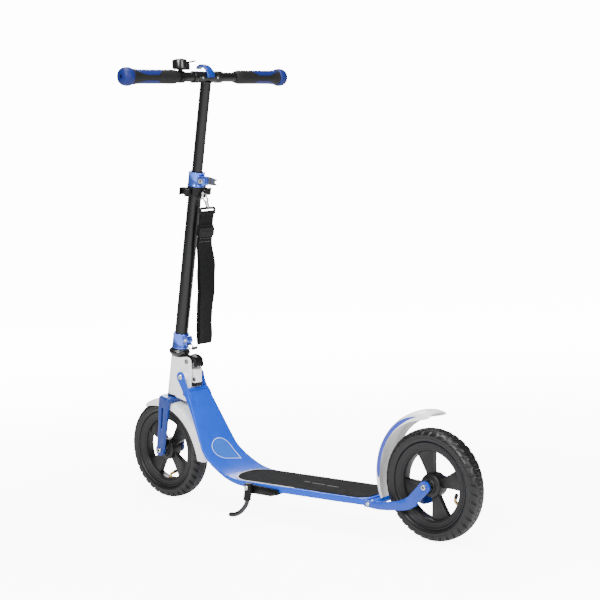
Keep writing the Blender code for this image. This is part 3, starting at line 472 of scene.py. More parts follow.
def neck_gussets():
    """Each arm widens where it meets the neck plate."""
    outline = [(0.3, 0.296), (0.2975, 0.286), (0.2905, 0.268), (0.28, 0.258)]
    outline += [(0.269, 0.23), (0.276, 0.22), (0.29, 0.24), (0.308, 0.282)]
    for side, hand in SIDES:
        gusset = plate(rounded(outline, 0.004, 5), *between(side, 0.0283, 0.0327))
        place(f"neck_gusset_{hand}", gusset, "blue_paint", "frame", bevel=0.0005)


# Wheels

TREAD_BLOCKS = 38
TYRE_HALF = 0.021


def tread_depth(turn, y, side):
    """How deep the tyre's tread pattern is cut at a place on its surface."""
    across = abs(y) / TYRE_HALF
    count = turn * TREAD_BLOCKS / (2 * math.pi)
    wave = abs((count % 1.0) - 0.5) * 4 - 1
    if abs(y - 0.0028 * wave) < 0.0011:
        return 0.0021
    slant = (count + side * 0.25 + 0.9 * across) % 1.0
    if 0.42 < across and slant < 0.26:
        return 0.0027
    if 0.3 < across < 0.37:
        return 0.001
    return 0.0


def tyre():
    wall = [(0.0845, 0.0138), (0.0885, 0.0144), (0.0899, 0.0152), (0.0903, 0.017), (0.0912, 0.0184)]
    wall += [(0.0922, 0.0186), (0.0926, 0.0191), (0.094, 0.0194), (0.0955, 0.0197), (0.0962, 0.0203)]
    wall += [(0.0974, 0.0204), (0.098, 0.0202), (0.1005, 0.0207), (0.103, TYRE_HALF)]
    tread = []
    for k in range(15):
        a = math.radians(8 + 82 * k / 14)
        y = TYRE_HALF * math.cos(a) ** 0.75 if k < 14 else 0.0
        tread.append((0.103 + 0.012 * math.sin(a), y))
    inner = [(0.1112, 0.0), (0.1095, 0.011), (0.102, 0.0172), (0.094, 0.015)]
    half = wall + tread
    profile = half + flipped(half[:-1]) + flipped(inner) + inner[1:]
    first, last = len(wall), 2 * len(half) - 1 - len(wall)
    steps = TREAD_BLOCKS * 12
    sections = []
    for i in range(steps):
        turn = 2 * math.pi * i / steps
        section = []
        for k, (r, y) in enumerate(profile):
            if first <= k < last:
                depth = tread_depth(turn, y, 1 if y > 0 else -1)
                r, y = r - depth, y * (1 - 10 * depth)
            section.append((r * math.cos(turn), y, r * math.sin(turn)))
        sections.append(section)
    return loft(sections, closed=True)


def spoke(angle):
    """A flat spoke that widens from the hub to the rim."""
    half = [(0.016, 0.0105), (0.0235, 0.0094), (0.027, 0.0096), (0.048, 0.015), (0.065, 0.0206)]
    half += [(0.0695, 0.0224), (0.0706, 0.024), (0.073, 0.025)]
    outline = [(r, -w) for r, w in half] + half[::-1]
    layers = ((-0.0062, 0.9), (-0.0052, 1.0), (0.0052, 1.0), (0.0062, 0.9))
    bm = loft([[(r, w * narrow, y) for r, w in outline] for y, narrow in layers])
    bm.transform(Matrix.Rotation(-angle, 4, "Z"))
    bm.transform(ALONG_Y)
    return bm


def rim(phase):
    half = [(0.0893, 0.0165), (0.0893, 0.0149), (0.0838, 0.0146), (0.0838, 0.0085), (0.08, 0.006)]
    face = [(0.0704, 0.0), (0.07, 0.0072), (0.0708, 0.0104), (0.0722, 0.012), (0.0748, 0.0126)]
    face += [(0.0756, 0.0138), (0.08, 0.0142), (0.0812, 0.015), (0.0838, 0.0152), (0.085, 0.0163)]
    face += [(0.0875, 0.0171)]
    ring = revolve(mirrored(half) + flipped(face) + face[1:], 120)
    disc = [(0.0113, 0.0215), (0.0146, 0.0215), (0.016, 0.0205), (0.0164, 0.0172), (0.0172, 0.016)]
    disc += [(0.021, 0.015), (0.0238, 0.0132), (0.0248, 0.0105)]
    hub = revolve(mirrored(disc), 64)
    for bm in (ring, hub):
        bm.transform(ALONG_Y)
    return joined(ring, hub, *[spoke(phase + i * math.pi / 2) for i in range(4)])


# Valve routes from the tube to the cap's end, as (radius, y, round the wheel)
SIDE_VALVE = (
    (0.074, 0, 0),
    (0.0668, 0, 0),
    (0.063, -0.0032, 0),
    (0.0608, -0.0105, 0),
    (0.059, -0.019, 0),
)
BENT_VALVE = (
    (0.074, 0, 0),
    (0.066, 0.001, 0),
    (0.061, 0.004, -0.0035),
    (0.0595, 0.006, -0.011),
    (0.059, 0.007, -0.02),
)


def wheel(word, body, centre_x, phase, valve_angle, valve_route):
    spot = Matrix.Translation((centre_x, 0, WHEEL_R))
    place(f"{word}_tread_tyre", tyre(), "tyre", body, spot, replaces=[f"{word}_tyre"], sharp=50)
    place(f"{word}_spoked_rim", rim(phase), "rim_grey", body, spot, replaces=[f"{word}_rim"], sharp=28)
    turned = spot @ Matrix.Rotation(-valve_angle, 4, "Y")
    route = [Vector(spot) for spot in valve_route]
    collar_nut = rod((0.0712, 0, 0), (0.0688, 0, 0), 0.0052, 6)
    stem = joined(wire(smooth_path(route[:4], 6), 0.0032), collar_nut)
    place(f"{word}_valve_stem", stem, "brass", body, turned)
    cap = rod(route[3], route[4], 0.0038, 20)
    place(f"{word}_valve_cap", cap, "black_plastic", body, turned, bevel=0.0006)
    half = [(0.0905, 0.009), (0.096, 0.0138), (0.102, 0.016), (0.108, 0.0108), (0.1105, 0.0)]
    inner = [(0.1088, 0.0), (0.1018, 0.0142), (0.0915, 0.0072)]
    tube = revolve(half + flipped(half[:-1]) + flipped(inner) + inner[1:], 96)
    tube.transform(ALONG_Y)
    place(f"{word}_air_tube", tube, "rubber", body, spot, replaces=[f"{word}_inner_tube"])


# Fenders


def fender_ring(crown, lip, half, thick):
    """Points across a fender at one station, outer surface then inner: (y, radius)."""
    drop = 0.0085
    arc = [math.radians(90 * k / 8) for k in range(9)]
    outer = [(half, lip), (half, (lip + crown - drop) / 2)]
    outer += [(half * math.cos(a), crown - drop + drop * math.sin(a)) for a in arc]
    thin = half - thick
    inner = [(thin, lip), (thin, (lip + crown - drop) / 2)]
    inner += [(thin * math.cos(a), crown - drop - thick * math.sin(a) + drop * math.sin(a)) for a in arc]
    return outer + [(-y, r) for y, r in outer[-2::-1]] + [(-y, r) for y, r in inner] + inner[-2::-1]


def around(centre_x, degrees, y, radius):
    angle = math.radians(degrees)
    return (centre_x + radius * math.cos(angle), y, WHEEL_R + radius * math.sin(angle))


def fender(stations, half, thick, centre_x, per_span):
    sections = []
    for degrees, crown, lip in [tuple(p) for p in smooth_path(stations, per_span)]:
        ring = fender_ring(crown, lip, half, thick)
        sections.append([around(centre_x, degrees, y, r) for y, r in ring])
    return loft(sections)


REAR_FENDER = (
    (-17, 0.1315, 0.12),
    (0, 0.1345, 0.1212),
    (20, 0.1385, 0.1222),
    (45, 0.145, 0.129),
    (70, 0.1508, 0.1325),
    (88, 0.1528, 0.135),
    (96, 0.15, 0.14),
)
FRONT_FENDER = (
    (64, 0.1218, 0.11),
    (85, 0.1212, 0.104),
    (105, 0.1212, 0.103),
    (125, 0.123, 0.103),
    (150, 0.13, 0.1055),
    (172, 0.1375, 0.112),
    (187, 0.143, 0.12),
)


def fender_stripe(side):
    """A blue stripe along a side of the rear fender, pointed at both ends."""
    line = [tuple(p) for p in smooth_path(REAR_FENDER, 12)]
    first, last = 2.0, 84.0
    sections = []
    for degrees, crown, _ in line:
        if not first <= degrees <= last:
            continue
        part = (degrees - first) / (last - first)
        wide = 0.0042 * min(1.0, part / 0.1) ** 0.6 * min(1.0, (1 - part) / 0.22) ** 0.8
        wide = max(wide, 0.0004)
        middle = crown - 0.013 + 0.0022 * part
        y = side * 0.029
        ring = [(y - side * 0.0002, middle - wide), (y + side * 0.00025, middle - wide)]
        ring += [(y + side * 0.00025, middle + wide), (y - side * 0.0002, middle + wide)]
        sections.append([around(REAR_X, degrees, yy, r) for yy, r in ring])
    return loft(sections)


def fenders():
    shell = fender(REAR_FENDER, 0.029, 0.0024, REAR_X, 10)
    place("rear_fender_shell", shell, "white_plastic", "rear_brake", replaces=["rear_fender"])
    barrel = moved(rod((0, -0.046, 0), (0, 0.046, 0), 0.0062, 32, bore=0.0034), -0.268, 0, 0.072)
    place("fender_hinge_barrel", barrel, "blue_paint", "rear_brake")
    filler = box((-0.2611, -0.056, DECK_TOP - 0.01), (-0.257, 0.056, DECK_TOP - 0.0004))
    place("deck_end_plate", filler, "blue_paint", "frame", bevel=0.0004)
    for side, hand in SIDES:
        place(f"fender_stripe_{hand}", fender_stripe(side), "decal_blue", "rear_brake")
    shell = fender(FRONT_FENDER, 0.0255, 0.002, FRONT_X, 10)
    place("front_fender_shell", shell, "white_plastic", "steering", replaces=["front_fender"])


# Handles: each grip is a black body with blue leaves let into it and a blue end knob

GRIP_LINE = (
    (0.0855, 0.012),
    (0.089, 0.0132),
    (0.097, 0.0152),
    (0.104, 0.0156),
    (0.15, 0.015),
    (0.203, 0.0152),
    (0.223, 0.0172),
)


def grip_radius(y):
    for (y0, r0), (y1, r1) in zip(GRIP_LINE, GRIP_LINE[1:]):
        if y <= y1:
            return r0 + (r1 - r0) * (y - y0) / (y1 - y0)
    return GRIP_LINE[-1][1]


def grip_sleeve():
    """The black sleeve, with fine ribs round its inner half."""
    steps = 96
    sections = []
    heights = [0.0855, 0.0858, 0.089, 0.093, 0.097, 0.1005, 0.104]
    heights += [0.106 + 0.004 * k for k in range(28)] + [0.218, 0.22, 0.2215, 0.223]
    extra = {0.218: 0.0003, 0.22: 0.0007, 0.2215: 0.0005, 0.223: 0.0}
    for y in heights:
        base = grip_radius(y) + extra.get(y, 0.0)
        ribbed = ease((y - 0.1) / 0.012) * ease((0.15 - y) / 0.02)
        section = []
        for i in range(steps):
            angle = 2 * math.pi * i / steps
            r = base - 0.00045 * ribbed * (0.5 + 0.5 * math.cos(24 * angle)) ** 3
            section.append((r * math.cos(angle), r * math.sin(angle), y))
        sections.append(section)
    hole = [[(x, y, height) for x, y in circle(0.0111, steps)] for height in (0.223, 0.0855)]
    return loft(sections + hole, closed=True)


def grip_leaf(middle_angle):
    """A blue inlay that tapers inboard and fills out towards the knob."""
    sections = []
    count = 30
    for k in range(count + 1):
        t = k / count
        y = 0.136 + (0.2165 - 0.136) * t
        spread = math.radians(66) * min(1.0, t / 0.22) ** 0.55 * (1 - 0.45 * ease((t - 0.6) / 0.4))
        spread = max(spread, 0.02)
        r_out = grip_radius(y) + 0.00035
        arc = [middle_angle + spread * (s / 6 - 1) for s in range(13)]
        outer = [(r_out * math.cos(a), r_out * math.sin(a), y) for a in arc]
        inner = [((r_out - 0.0012) * math.cos(a), (r_out - 0.0012) * math.sin(a), y) for a in arc[::-1]]
        sections.append(outer + inner)
    return loft(sections)


def grip_knob():
    profile = [(0.0111, 0.2232), (0.017, 0.2232), (0.0184, 0.2242), (0.0195, 0.2262)]
    profile += [(0.0203, 0.231), (0.0201, 0.236), (0.0192, 0.241), (0.0172, 0.2452), (0.014, 0.2478)]
    profile += [(0.01, 0.2493), (0.006, 0.25), (0.0044, 0.2498), (0.0038, 0.2485), (0.0038, 0.24)]
    profile += [(0.0, 0.24), (0.0, 0.2384), (0.0111, 0.2384)]
    return revolve(profile, 72)


def handles():
    for side, hand in SIDES:
        body = f"{hand}_handle"
        along = BAR @ towards(side)
        sleeve = grip_sleeve()
        place(f"{hand}_grip_sleeve", sleeve, "rubber", body, along, replaces=[f"{hand}_grip"], sharp=50)
        for number, turn in enumerate((90, 270)):
            place(f"{hand}_grip_leaf{number}", grip_leaf(math.radians(turn)), "grip_blue", body, along)
        place(f"{hand}_grip_knob", grip_knob(), "grip_blue", body, along)
        # Painted shade: a black plug fills the knob's end recess, standing for the shade inside the hole.
        knob_hole_shade = revolve([(0.0, 0.2402), (0.0037, 0.2402), (0.0037, 0.247), (0.0, 0.247)], 32)
        place(f"{hand}_grip_hole_shade", knob_hole_shade, "black_plastic", body, along)
        tube = revolve([(0.009, 0.0105), (0.0107, 0.0105), (0.0107, 0.238), (0.009, 0.238)], 64)
        place(f"{hand}_tube", tube, "black_tube", body, along, replaces=[f"{hand}_handle_tube"])


# Bell


def bell():
    clamp = revolve([(0.011, -0.0068), (0.0135, -0.0068), (0.0135, 0.0058), (0.011, 0.0058)], 56)
    clamp.transform(ALONG_Y)
    screw_lug = box((-0.018, -0.005, -0.004), (-0.012, 0.004, 0.005))
    post = rod((0, -0.001, 0.012), (0, -0.001, BELL_LOW + 0.001), 0.0055)
    core = rod((0, 0, BELL_LOW), (0, 0, BELL_TOP - 0.0028), 0.0142, 64)
    shelf = box((-0.004, BELL_STRIKER_Y - 0.003, BELL_LOW - 0.0018), (0.004, 0.0, BELL_LOW + 0.0008))
    base = joined(clamp, screw_lug, post, core, shelf)
    place("bell_bracket", base, "black_plastic", "left_handle", BELL, replaces=["bell_base"])
    low = BELL_LOW + 0.0012
    cup = [(0.0146, low), (0.0158, low), (0.0165, low + 0.0006)]
    dome = [(0.0165, -0.0052), (0.016, -0.0034), (0.0148, -0.0024), (0.012, -0.0019), (0.0098, -0.0017)]
    dome += [(0.0092, -0.0008), (0.006, -0.0002), (0.0, 0.0), (0.0, -0.0023), (0.0146, -0.0023)]
    cup += about(0.0, BELL_TOP, dome)
    place("bell_dome", revolve(cup, 72), "gloss_black", "left_handle", BELL, replaces=["bell_cup"])


# The stem


def stem():
    tube = revolve([(0.0131, 0.2478), (0.01525, 0.2478), (0.01525, 0.655), (0.0131, 0.655)], 72)
    place("lower_stem_tube", tube, "black_tube", "steering", STEER, replaces=["lower_tube"])
    turn = math.radians(205)
    toward = Vector((math.cos(turn), math.sin(turn), 0))
    # Painted shade: each height hole is a near-black disc on the tube's surface, standing for the shade
    # inside the hole.
    for number in range(1, 6):
        spot = Vector((0, 0, 0.603 - 0.064 * number))
        hole = rod(toward * 0.014 + spot, toward * 0.01545 + spot, 0.0034, 32)
        place(f"height_hole{number}", hole, "painted_hole_shade", "steering", STEER)
    top = BAR_S - 0.0138
    tube = revolve([(0.01, 0.5), (0.0122, 0.5), (0.0122, top), (0.01, top)], 72)
    place("upper_stem_tube", tube, "black_tube", "upper_stem", STEER, replaces=["upper_tube"])
    end = 0.043
    half = [(0.0111, end), (0.0127, end), (0.0133, end - 0.0006)]
    half += [(0.0133, 0.0272), (0.0129, 0.0264), (0.0125, 0.0262)]
    sleeve = revolve(mirrored(half), 72)
    sleeve.transform(ALONG_Y)
    foot = [(0.0, -0.0105), (0.0127, -0.0105), (0.0127, -0.0122), (0.0122, -0.0135), (0.0, -0.0135)]
    neck = revolve(foot, 64)
    place("t_sleeve", joined(sleeve, neck), "black_tube", "upper_stem", BAR, replaces=["t_piece"])
    cover = [(0.013, 0.2293), (0.016, 0.2293), (0.02, 0.231), (0.0232, 0.2345), (0.0244, 0.2382)]
    cover += [(0.024, 0.2412), (0.0226, 0.2432), (0.0206, 0.2438), (0.0196, 0.2448), (0.0192, 0.2475)]
    cover += [(0.013, 0.2475)]
    bell_shape = revolve(cover, 72)
    place("headset_bell", bell_shape, "gloss_black", "steering", STEER, ["headset_cover"], sharp=50)


# Carry strap: one length of webbing, over the ring's bar, down the stem and back up to the slider

STRAP_HALF = 0.02
STRAP_TOP = 0.576
# How far the strap hangs to the left of the stem's middle, by height up the stem
STRAP_SHIFT = (
    (0.59, 0.003),
    (0.515, 0.002),
    (0.445, -0.0135),
    (0.375, -0.0195),
    (0.325, -0.0235),
    (0.262, -0.03),
)


def strap_shift(height):
    for (high, first), (low, second) in zip(STRAP_SHIFT, STRAP_SHIFT[1:]):
        if height >= low:
            return first + (second - first) * ease((high - height) / (high - low))
    return STRAP_SHIFT[-1][1]


def strap_route():
    """(forward, height) points along the middle of the webbing."""
    points = [(-0.0482, 0.5285), (-0.0484, 0.548), (-0.049, 0.57), (-0.0508, 0.5778), (-0.0482, 0.5818)]
    points += [(-0.0452, 0.5785), (-0.0452, 0.564), (-0.0458, 0.54), (-0.0452, 0.52), (-0.0425, 0.485)]
    points += [(-0.04, 0.44), (-0.0415, 0.39), (-0.039, 0.34), (-0.04, 0.3), (-0.0425, 0.274)]
    points += [(-0.046, 0.266), (-0.05, 0.2745), (-0.0525, 0.3), (-0.05, 0.34), (-0.0525, 0.39)]
    points += [(-0.0505, 0.44), (-0.05, 0.485), (-0.0505, 0.52), (-0.0512, 0.535), (-0.0512, 0.55)]
    return smooth_path([(fwd, height, 0) for fwd, height in points], 8)


def strap():
    route = strap_route()
    sections = []
    for i, spot in enumerate(route):
        ahead = route[min(i + 1, len(route) - 1)] - route[max(i - 1, 0)]
        normal = Vector((-ahead.y, ahead.x, 0)).normalized()
        middle = strap_shift(spot.y)
        free = ease((0.52 - spot.y) / 0.05)
        twist = 0.16 * math.sin((0.56 - spot.y) * 16) * free * ease((spot.y - 0.275) / 0.05)
        ring = []
        for side in (1, -1):
            for k in range(13):
                across = side * (1 - k / 6)
                curl = 0.0012 * across * across * free
                thick = 0.00065 * (1.25 if abs(across) > 0.9 else 1.0)
                fwd = spot.x + side * thick * normal.x - curl + twist * STRAP_HALF * across
                ring.append((fwd, middle + STRAP_HALF * across, spot.y + side * thick * normal.y))
        sections.append(ring)
    webbing = loft(sections)
    piece = place("strap_webbing", webbing, "webbing", "steering", STEER, ["carry_strap"], sharp=60)
    stitch = []
    for height in (0.5235, 0.5195, 0.5115):
        for k in range(9):
            y = strap_shift(height) + STRAP_HALF * (0.86 - 0.215 * k)
            low, high = (-0.0518, y - 0.0014, height - 0.00035), (-0.0508, y + 0.0014, height + 0.00035)
            stitch.append(box(low, high))
    place("strap_stitches", joined(*stitch), "thread", "steering", STEER)


def strap_hardware():
    back = -0.048
    middle = strap_shift(STRAP_TOP)
    half = STRAP_HALF + 0.0028
    top = STRAP_TOP + 0.0062
    corners = [(half, -0.006), (half - 0.0015, 0.006), (0.0015 - half, 0.006), (-half, -0.006)]
    bend = rounded(corners, 0.003, 5)
    ring = wire([(back, middle + y, top + h) for y, h in bend], 0.0029, 14, closed=True)
    place("strap_swivel_ring", ring, "black_plastic", "steering", STEER, ["strap_ring"], sharp=60)
    low, high = 0.524, 0.544
    sheath = rounded_tube(-0.0542, -0.0416, half, 0.0012, strap_shift(low), low, high)
    rib_half = half * 0.86
    rib = box((-0.0549, middle - rib_half, low + 0.0075), (-0.054, middle + rib_half, low + 0.0125))
    eye = ((-0.001, 0.007), (0.0042, 0.0055), (0.005, 0), (0.0042, -0.0055), (-0.001, -0.007))
    loop = wire([(back, middle + half + y, low + 0.01 + h) for y, h in eye], 0.0015, 10)
    slide = joined(sheath, rib, loop)
    place("strap_slide", slide, "black_plastic", "steering", STEER, ["strap_slider"], bevel=0.0004)
    bow = [(-0.028, 0.004, 0.0), (-0.0262, 0.0, 0.003), (-0.028, -0.0045, 0.0)]
    bow += [(-0.033, -0.0062, -0.008), (-0.0385, -0.0045, -0.014), (-0.039, 0.0, -0.0155)]
    bow += [(-0.0385, 0.0045, -0.014), (-0.0335, 0.0062, -0.0085)]
    path = smooth_path([(fwd, y, CLIP_HEIGHT + up) for fwd, y, up in bow], 6)
    hook = wire(path[:-1], 0.0024, 14, closed=True)
    foot, head = Vector((-0.0472, 0.0012, top + 0.0062)), Vector((-0.0388, 0, CLIP_HEIGHT - 0.015))
    profile = ((0.0, 0.0042), (0.1, 0.0052), (0.3, 0.005), (0.34, 0.0036))
    profile += ((0.5, 0.0036), (0.54, 0.0046), (0.9, 0.0043), (1.0, 0.003))
    body = turned_between(foot, head, profile)
    spot = foot.lerp(head, 0.72)
    button = rod(spot + Vector((-0.003, 0, 0)), spot + Vector((-0.0068, 0, -0.0012)), 0.0016, 20)
    clasp = joined(hook, body, button)
    place("snap_hook", clasp, "grey_metal", "steering", STEER, ["upper_snap_hook"], sharp=50)


def turned_between(low, high, profile):
    """A turned piece whose profile gives (part of the way, radius) from one point to another."""
    length = (high - low).length
    outline = [(0.0, 0.0)] + [(r, part * length) for part, r in profile] + [(0.0, length)]
    bm = revolve(outline, 40)
    bm.transform(along_line(low, high))
    return bm


def rounded_tube(back, front, half, wall, middle, low, high):
    """A flat sleeve, open at both ends, with rounded corners."""
    outer = rounded(rectangle(back, front, -half, half), 0.003, 5)
    inner = rounded(rectangle(back + wall, front - wall, wall - half, half - wall), 0.002, 5)
    rings = []
    for ring, height in ((outer, low), (outer, high), (inner, high), (inner, low)):
        rings.append([(fwd, middle + y, height) for fwd, y in ring])
    return loft(rings, closed=True)


# The deck's grip mat and the neck's emblem


def on_plate(along, across, above):
    """A point on the plate's top, by its distance along the plate's line from the rear end."""
    for (spot, normal, *_), (following, next_normal, *_) in zip(PLATE_STATIONS, PLATE_STATIONS[1:]):
        step = (following - spot).length
        if along <= step:
            part = along / step
            lifted = normal.lerp(next_normal, part) * above
            return spot.lerp(following, part) + lifted + Vector((0, across, 0))
        along -= step
    return PLATE_STATIONS[-1][0] + Vector((0, across, 0))


MAT_FRONT, MAT_REAR, MAT_HALF = 0.396, 0.004, 0.056
MAT_CORNER = 0.018


def mat_half(along, grow):
    """Half width of the mat at a distance along the plate: round in front, its corners cut behind."""
    length = 0.055 + grow
    if along < MAT_REAR + MAT_CORNER:
        return MAT_HALF - 0.016 * (MAT_REAR + MAT_CORNER - along) / MAT_CORNER
    part = max(0.0, (along - (MAT_FRONT + grow - length)) / length)
    return (MAT_HALF + grow) * max(0.0, 1 - min(part, 1.0) ** 2.5) ** (1 / 2.5)


def mat_slab(grow, height, start):
    sections = []
    count = 150
    for i in range(count + 1):
        t = i / count
        along = start + (MAT_FRONT + grow - start) * (1 - (1 - t) ** 1.8)
        half = max(mat_half(along, grow), 0.0015)
        ring = [(-1.0, 0.0003), (-1.0, height - 0.0004), (-0.994, height)]
        ring += [(k / 10, height) for k in range(-9, 10)]
        ring += [(0.994, height), (1.0, height - 0.0004), (1.0, 0.0003)]
        sections.append([on_plate(along, part * half, above) for part, above in ring])
    return loft(sections)


def grip_mat():
    pad = mat_slab(0.0, 0.0015, MAT_REAR)
    place("mat_pad", pad, "mat_grit", "frame", replaces=["grip_mat"], sharp=60)
    place("mat_edging", mat_slab(0.0032, 0.0008, 0.2), "mat_line", "frame", sharp=60)
    bars = []
    for start, end, across in ((0.118, 0.15, 0.004), (0.16, 0.196, 0.001), (0.205, 0.222, -0.002)):
        ring = rectangle(start, end, across, across + 0.0045)
        corners = [on_plate(along, y, 0.00145) for along, y in ring]
        bars.append(loft([corners, [corner + Vector((0, 0, 0.0002)) for corner in corners]]))
    place("mat_bars", joined(*bars), "mat_mark", "frame")


def teardrop(radius, tip):
    """(along, across) points of a drop whose tail points back and to the right."""
    centre, lean = (0.487, -0.002), math.atan2(-0.028, -0.0385)
    reach = math.acos(radius / tip)
    arc = [lean + reach + (2 * math.pi - 2 * reach) * k / 48 for k in range(49)]
    points = [(radius * math.cos(a), radius * math.sin(a)) for a in arc]
    points.append((tip * math.cos(lean), tip * math.sin(lean)))
    return [(centre[0] + a, centre[1] + b) for a, b in points]


def emblem():
    """A plain drop outline with a paler middle."""
    outer, inner = teardrop(0.03, 0.048), teardrop(0.0279, 0.044)
    sections = []
    for ring, above in ((outer, 0.0001), (outer, 0.0003), (inner, 0.0003), (inner, 0.0001)):
        sections.append([on_plate(a, b, above) for a, b in ring])
    place("emblem_outline", loft(sections, closed=True), "decal_light", "frame", sharp=60)
    drop = teardrop(0.0255, 0.04)
    middle = loft([[on_plate(a, b, above) for a, b in drop] for above in (0.0001, 0.00022)])
    place("emblem_middle", middle, "decal_pale", "frame", sharp=60)


# Folding head


def towards(side):
    """Turns what is drawn along Z to point along +Y or -Y."""
    return ALONG_Y if side > 0 else ALONG_Y @ Matrix.Rotation(math.pi, 4, "X")


def facing(side, bm):
    bm.transform(towards(side))
    return bm


def socket_head(radius, height):
    """A domed round screw head with a socket."""
    bore = radius * 0.55
    profile = [(0.0, 0.0), (radius, 0.0), (radius, height * 0.55), (radius * 0.82, height * 0.9)]
    profile += [(bore, height), (bore, height * 0.35), (0.0, height * 0.35)]
    return revolve(profile, 48)


def head_shell():
    x, z = FOLD_PIVOT
    outline = [(0.289, 0.333), (0.289, 0.302), (0.295, 0.262), (0.3045, 0.24), (0.311, 0.2342)]
    outline += [(0.3472, 0.2436), (0.36, 0.27), (0.35, 0.332), (0.33, 0.3355), (0.3, 0.339)]
    shapes = []
    for side, _ in SIDES:
        shapes.append(plate(rounded(outline, 0.006, 6), *between(side, 0.0136, 0.018)))
        low, high = between(side, 0.0175, 0.0281)
        shapes.append(moved(rod((0, low, 0), (0, high, 0), 0.0085, 40), x, 0, z))
    web = [(0.323, 0.256), (0.345, 0.256), (0.338, 0.328), (0.325, 0.328)]
    shell = joined(*shapes, plate(web, -0.015, 0.015))
    place("head_shell", shell, "white_paint", "head", replaces=["head_bracket"], bevel=0.0009)
    wall = [(0.015, 0.1365), (0.0174, 0.1365), (0.018, 0.1372)]
    wall += [(0.018, 0.2278), (0.0174, 0.2285), (0.015, 0.2285)]
    place("head_tube", revolve(wall, 72), "white_paint", "head", STEER)
    for word, (bolt_x, bolt_z) in (("upper", LATCH_PIVOT), ("lower", LOWER_BOLT)):
        for side, hand in SIDES:
            bolt = moved(facing(side, socket_head(0.0052, 0.003)), bolt_x, side * 0.0182, bolt_z)
            place(f"head_bolt_{word}_{hand}", bolt, "dark_steel", "head", sharp=30)


def latch_grip():
    """The folding latch's lever: two cheeks and the web between them."""
    x, z = LATCH_PIVOT
    edge = [(0.019, 0.01), (0.003, 0.0148), (-0.005, 0.015), (-0.019, 0.011), (-0.024, 0.004)]
    edge += [(-0.0255, -0.006), (-0.0245, -0.0125), (-0.02, -0.014), (-0.017, -0.0105)]
    edge += [(-0.0175, -0.003), (-0.015, 0.001), (-0.012, -0.003), (-0.008, -0.0055)]
    edge += [(0.003, -0.005), (0.008, -0.001)]
    cheek = rounded(about(x, z, edge), 0.003, 5)
    cheeks = [plate(cheek, *between(side, 0.008, 0.0112)) for side, _ in SIDES]
    web = [(0.015, 0.008), (-0.004, 0.0128), (-0.018, 0.0085), (-0.023, 0.002)]
    web += [(-0.024, -0.011), (-0.02, -0.012), (-0.019, -0.0005), (-0.015, 0.004), (-0.004, 0.006)]
    bridge = plate(rounded(about(x, z, web), 0.003, 5), -0.0082, 0.0082)
    grip = joined(*cheeks, bridge)
    place("latch_grip", grip, "black_plastic", "latch_lever", replaces=["latch_lever"], bevel=0.0007)


def latch_housing():
    """The block on the neck that the latch closes on, with its catch and bolts."""
    x, z = FOLD_PIVOT
    edge = [(-0.028, -0.015), (-0.0285, 0.005), (-0.027, 0.0165)]
    edge += [(-0.0135, 0.0165), (-0.0125, -0.005), (-0.015, -0.015)]
    block = plate(rounded(about(x, z, edge), 0.003, 5), -0.0092, 0.0092)
    place("latch_housing", block, "white_paint", "frame", replaces=["latch_block"], bevel=0.0008)
    edge = [(-0.0285, -0.0152), (-0.025, -0.0232), (-0.014, -0.0232), (-0.012, -0.0152)]
    catch = plate(rounded(about(x, z, edge), 0.002, 4), -0.01, 0.01)
    place("latch_catch", catch, "black_plastic", "frame", bevel=0.0006)
    for side, hand in SIDES:
        bolt = moved(facing(side, socket_head(0.0046, 0.0024)), x - 0.0225, side * 0.0093, z - 0.0065)
        place(f"latch_bolt_{hand}", bolt, "dark_steel", "frame", sharp=30)


# CAD shapes that only need rounded edges


def refined_nodes():
    for name, node, material, width in (
        ("fork_shell", "fork", "fork_blue", 0.0006),
        # The rear arms take the darker copy of the blue paint, as painted shade.
        ("left_arm_shell", "left_rear_arm", "shaded_arm_blue", 0.0018),
        ("right_arm_shell", "right_rear_arm", "shaded_arm_blue", 0.0018),
        ("clip_ring", "clip_collar", "black_plastic", 0.0005),
        ("stand_bracket", "kickstand_bracket", "black_plastic", 0.0006),
        ("strap_low_hook", "lower_snap_hook", "black_metal", 0.0003),
        ("bell_striker", "bell_lever", "black_plastic", 0.0004),
    ):
        refined(name, node, material, width)


# Collars, quick release, carry hook, kickstand and axle bolts


def collar(low, high, ear_out, ear_half, ear_low, ear_high):
    """A split ring with two ears at the back of the stem."""
    slit = 0.0011
    start = math.asin(slit / 0.0172)
    arc = [math.pi + start + (2 * math.pi - 2 * start) * k / 72 for k in range(73)]
    wall = [(0.0156, low), (0.0184, low), (0.019, low + 0.0007), (0.019, low + 0.0032)]
    wall += [(0.0186, low + 0.0038), (0.0186, high - 0.0038)]
    wall += [(0.019, high - 0.0032), (0.019, high - 0.0007), (0.0184, high), (0.0156, high)]
    ring = loft([[(r * math.cos(a), r * math.sin(a), h) for r, h in wall] for a in arc])
    near = -0.0165
    ear = rounded(rectangle(-ear_out, near, ear_low, ear_high), 0.0035, 6)
    ears = [plate(ear, *between(side, slit, ear_half)) for side, _ in SIDES]
    return joined(ring, *ears)


def collars():
    low, high = 0.2478, 0.2835
    ring = collar(low, high, 0.029, 0.0085, low + 0.012, high - 0.002)
    place("low_collar", ring, "anodised_blue", "steering", STEER, ["lower_collar"], bevel=0.0005)
    low, high = CLAMP_LOW, CLAMP_HIGH
    ring = collar(low, high, 0.03, 0.0095, CLAMP_MIDDLE - 0.0105, CLAMP_MIDDLE + 0.0105)
    place("high_collar", ring, "anodised_blue", "steering", STEER, ["height_clamp"], bevel=0.0005)


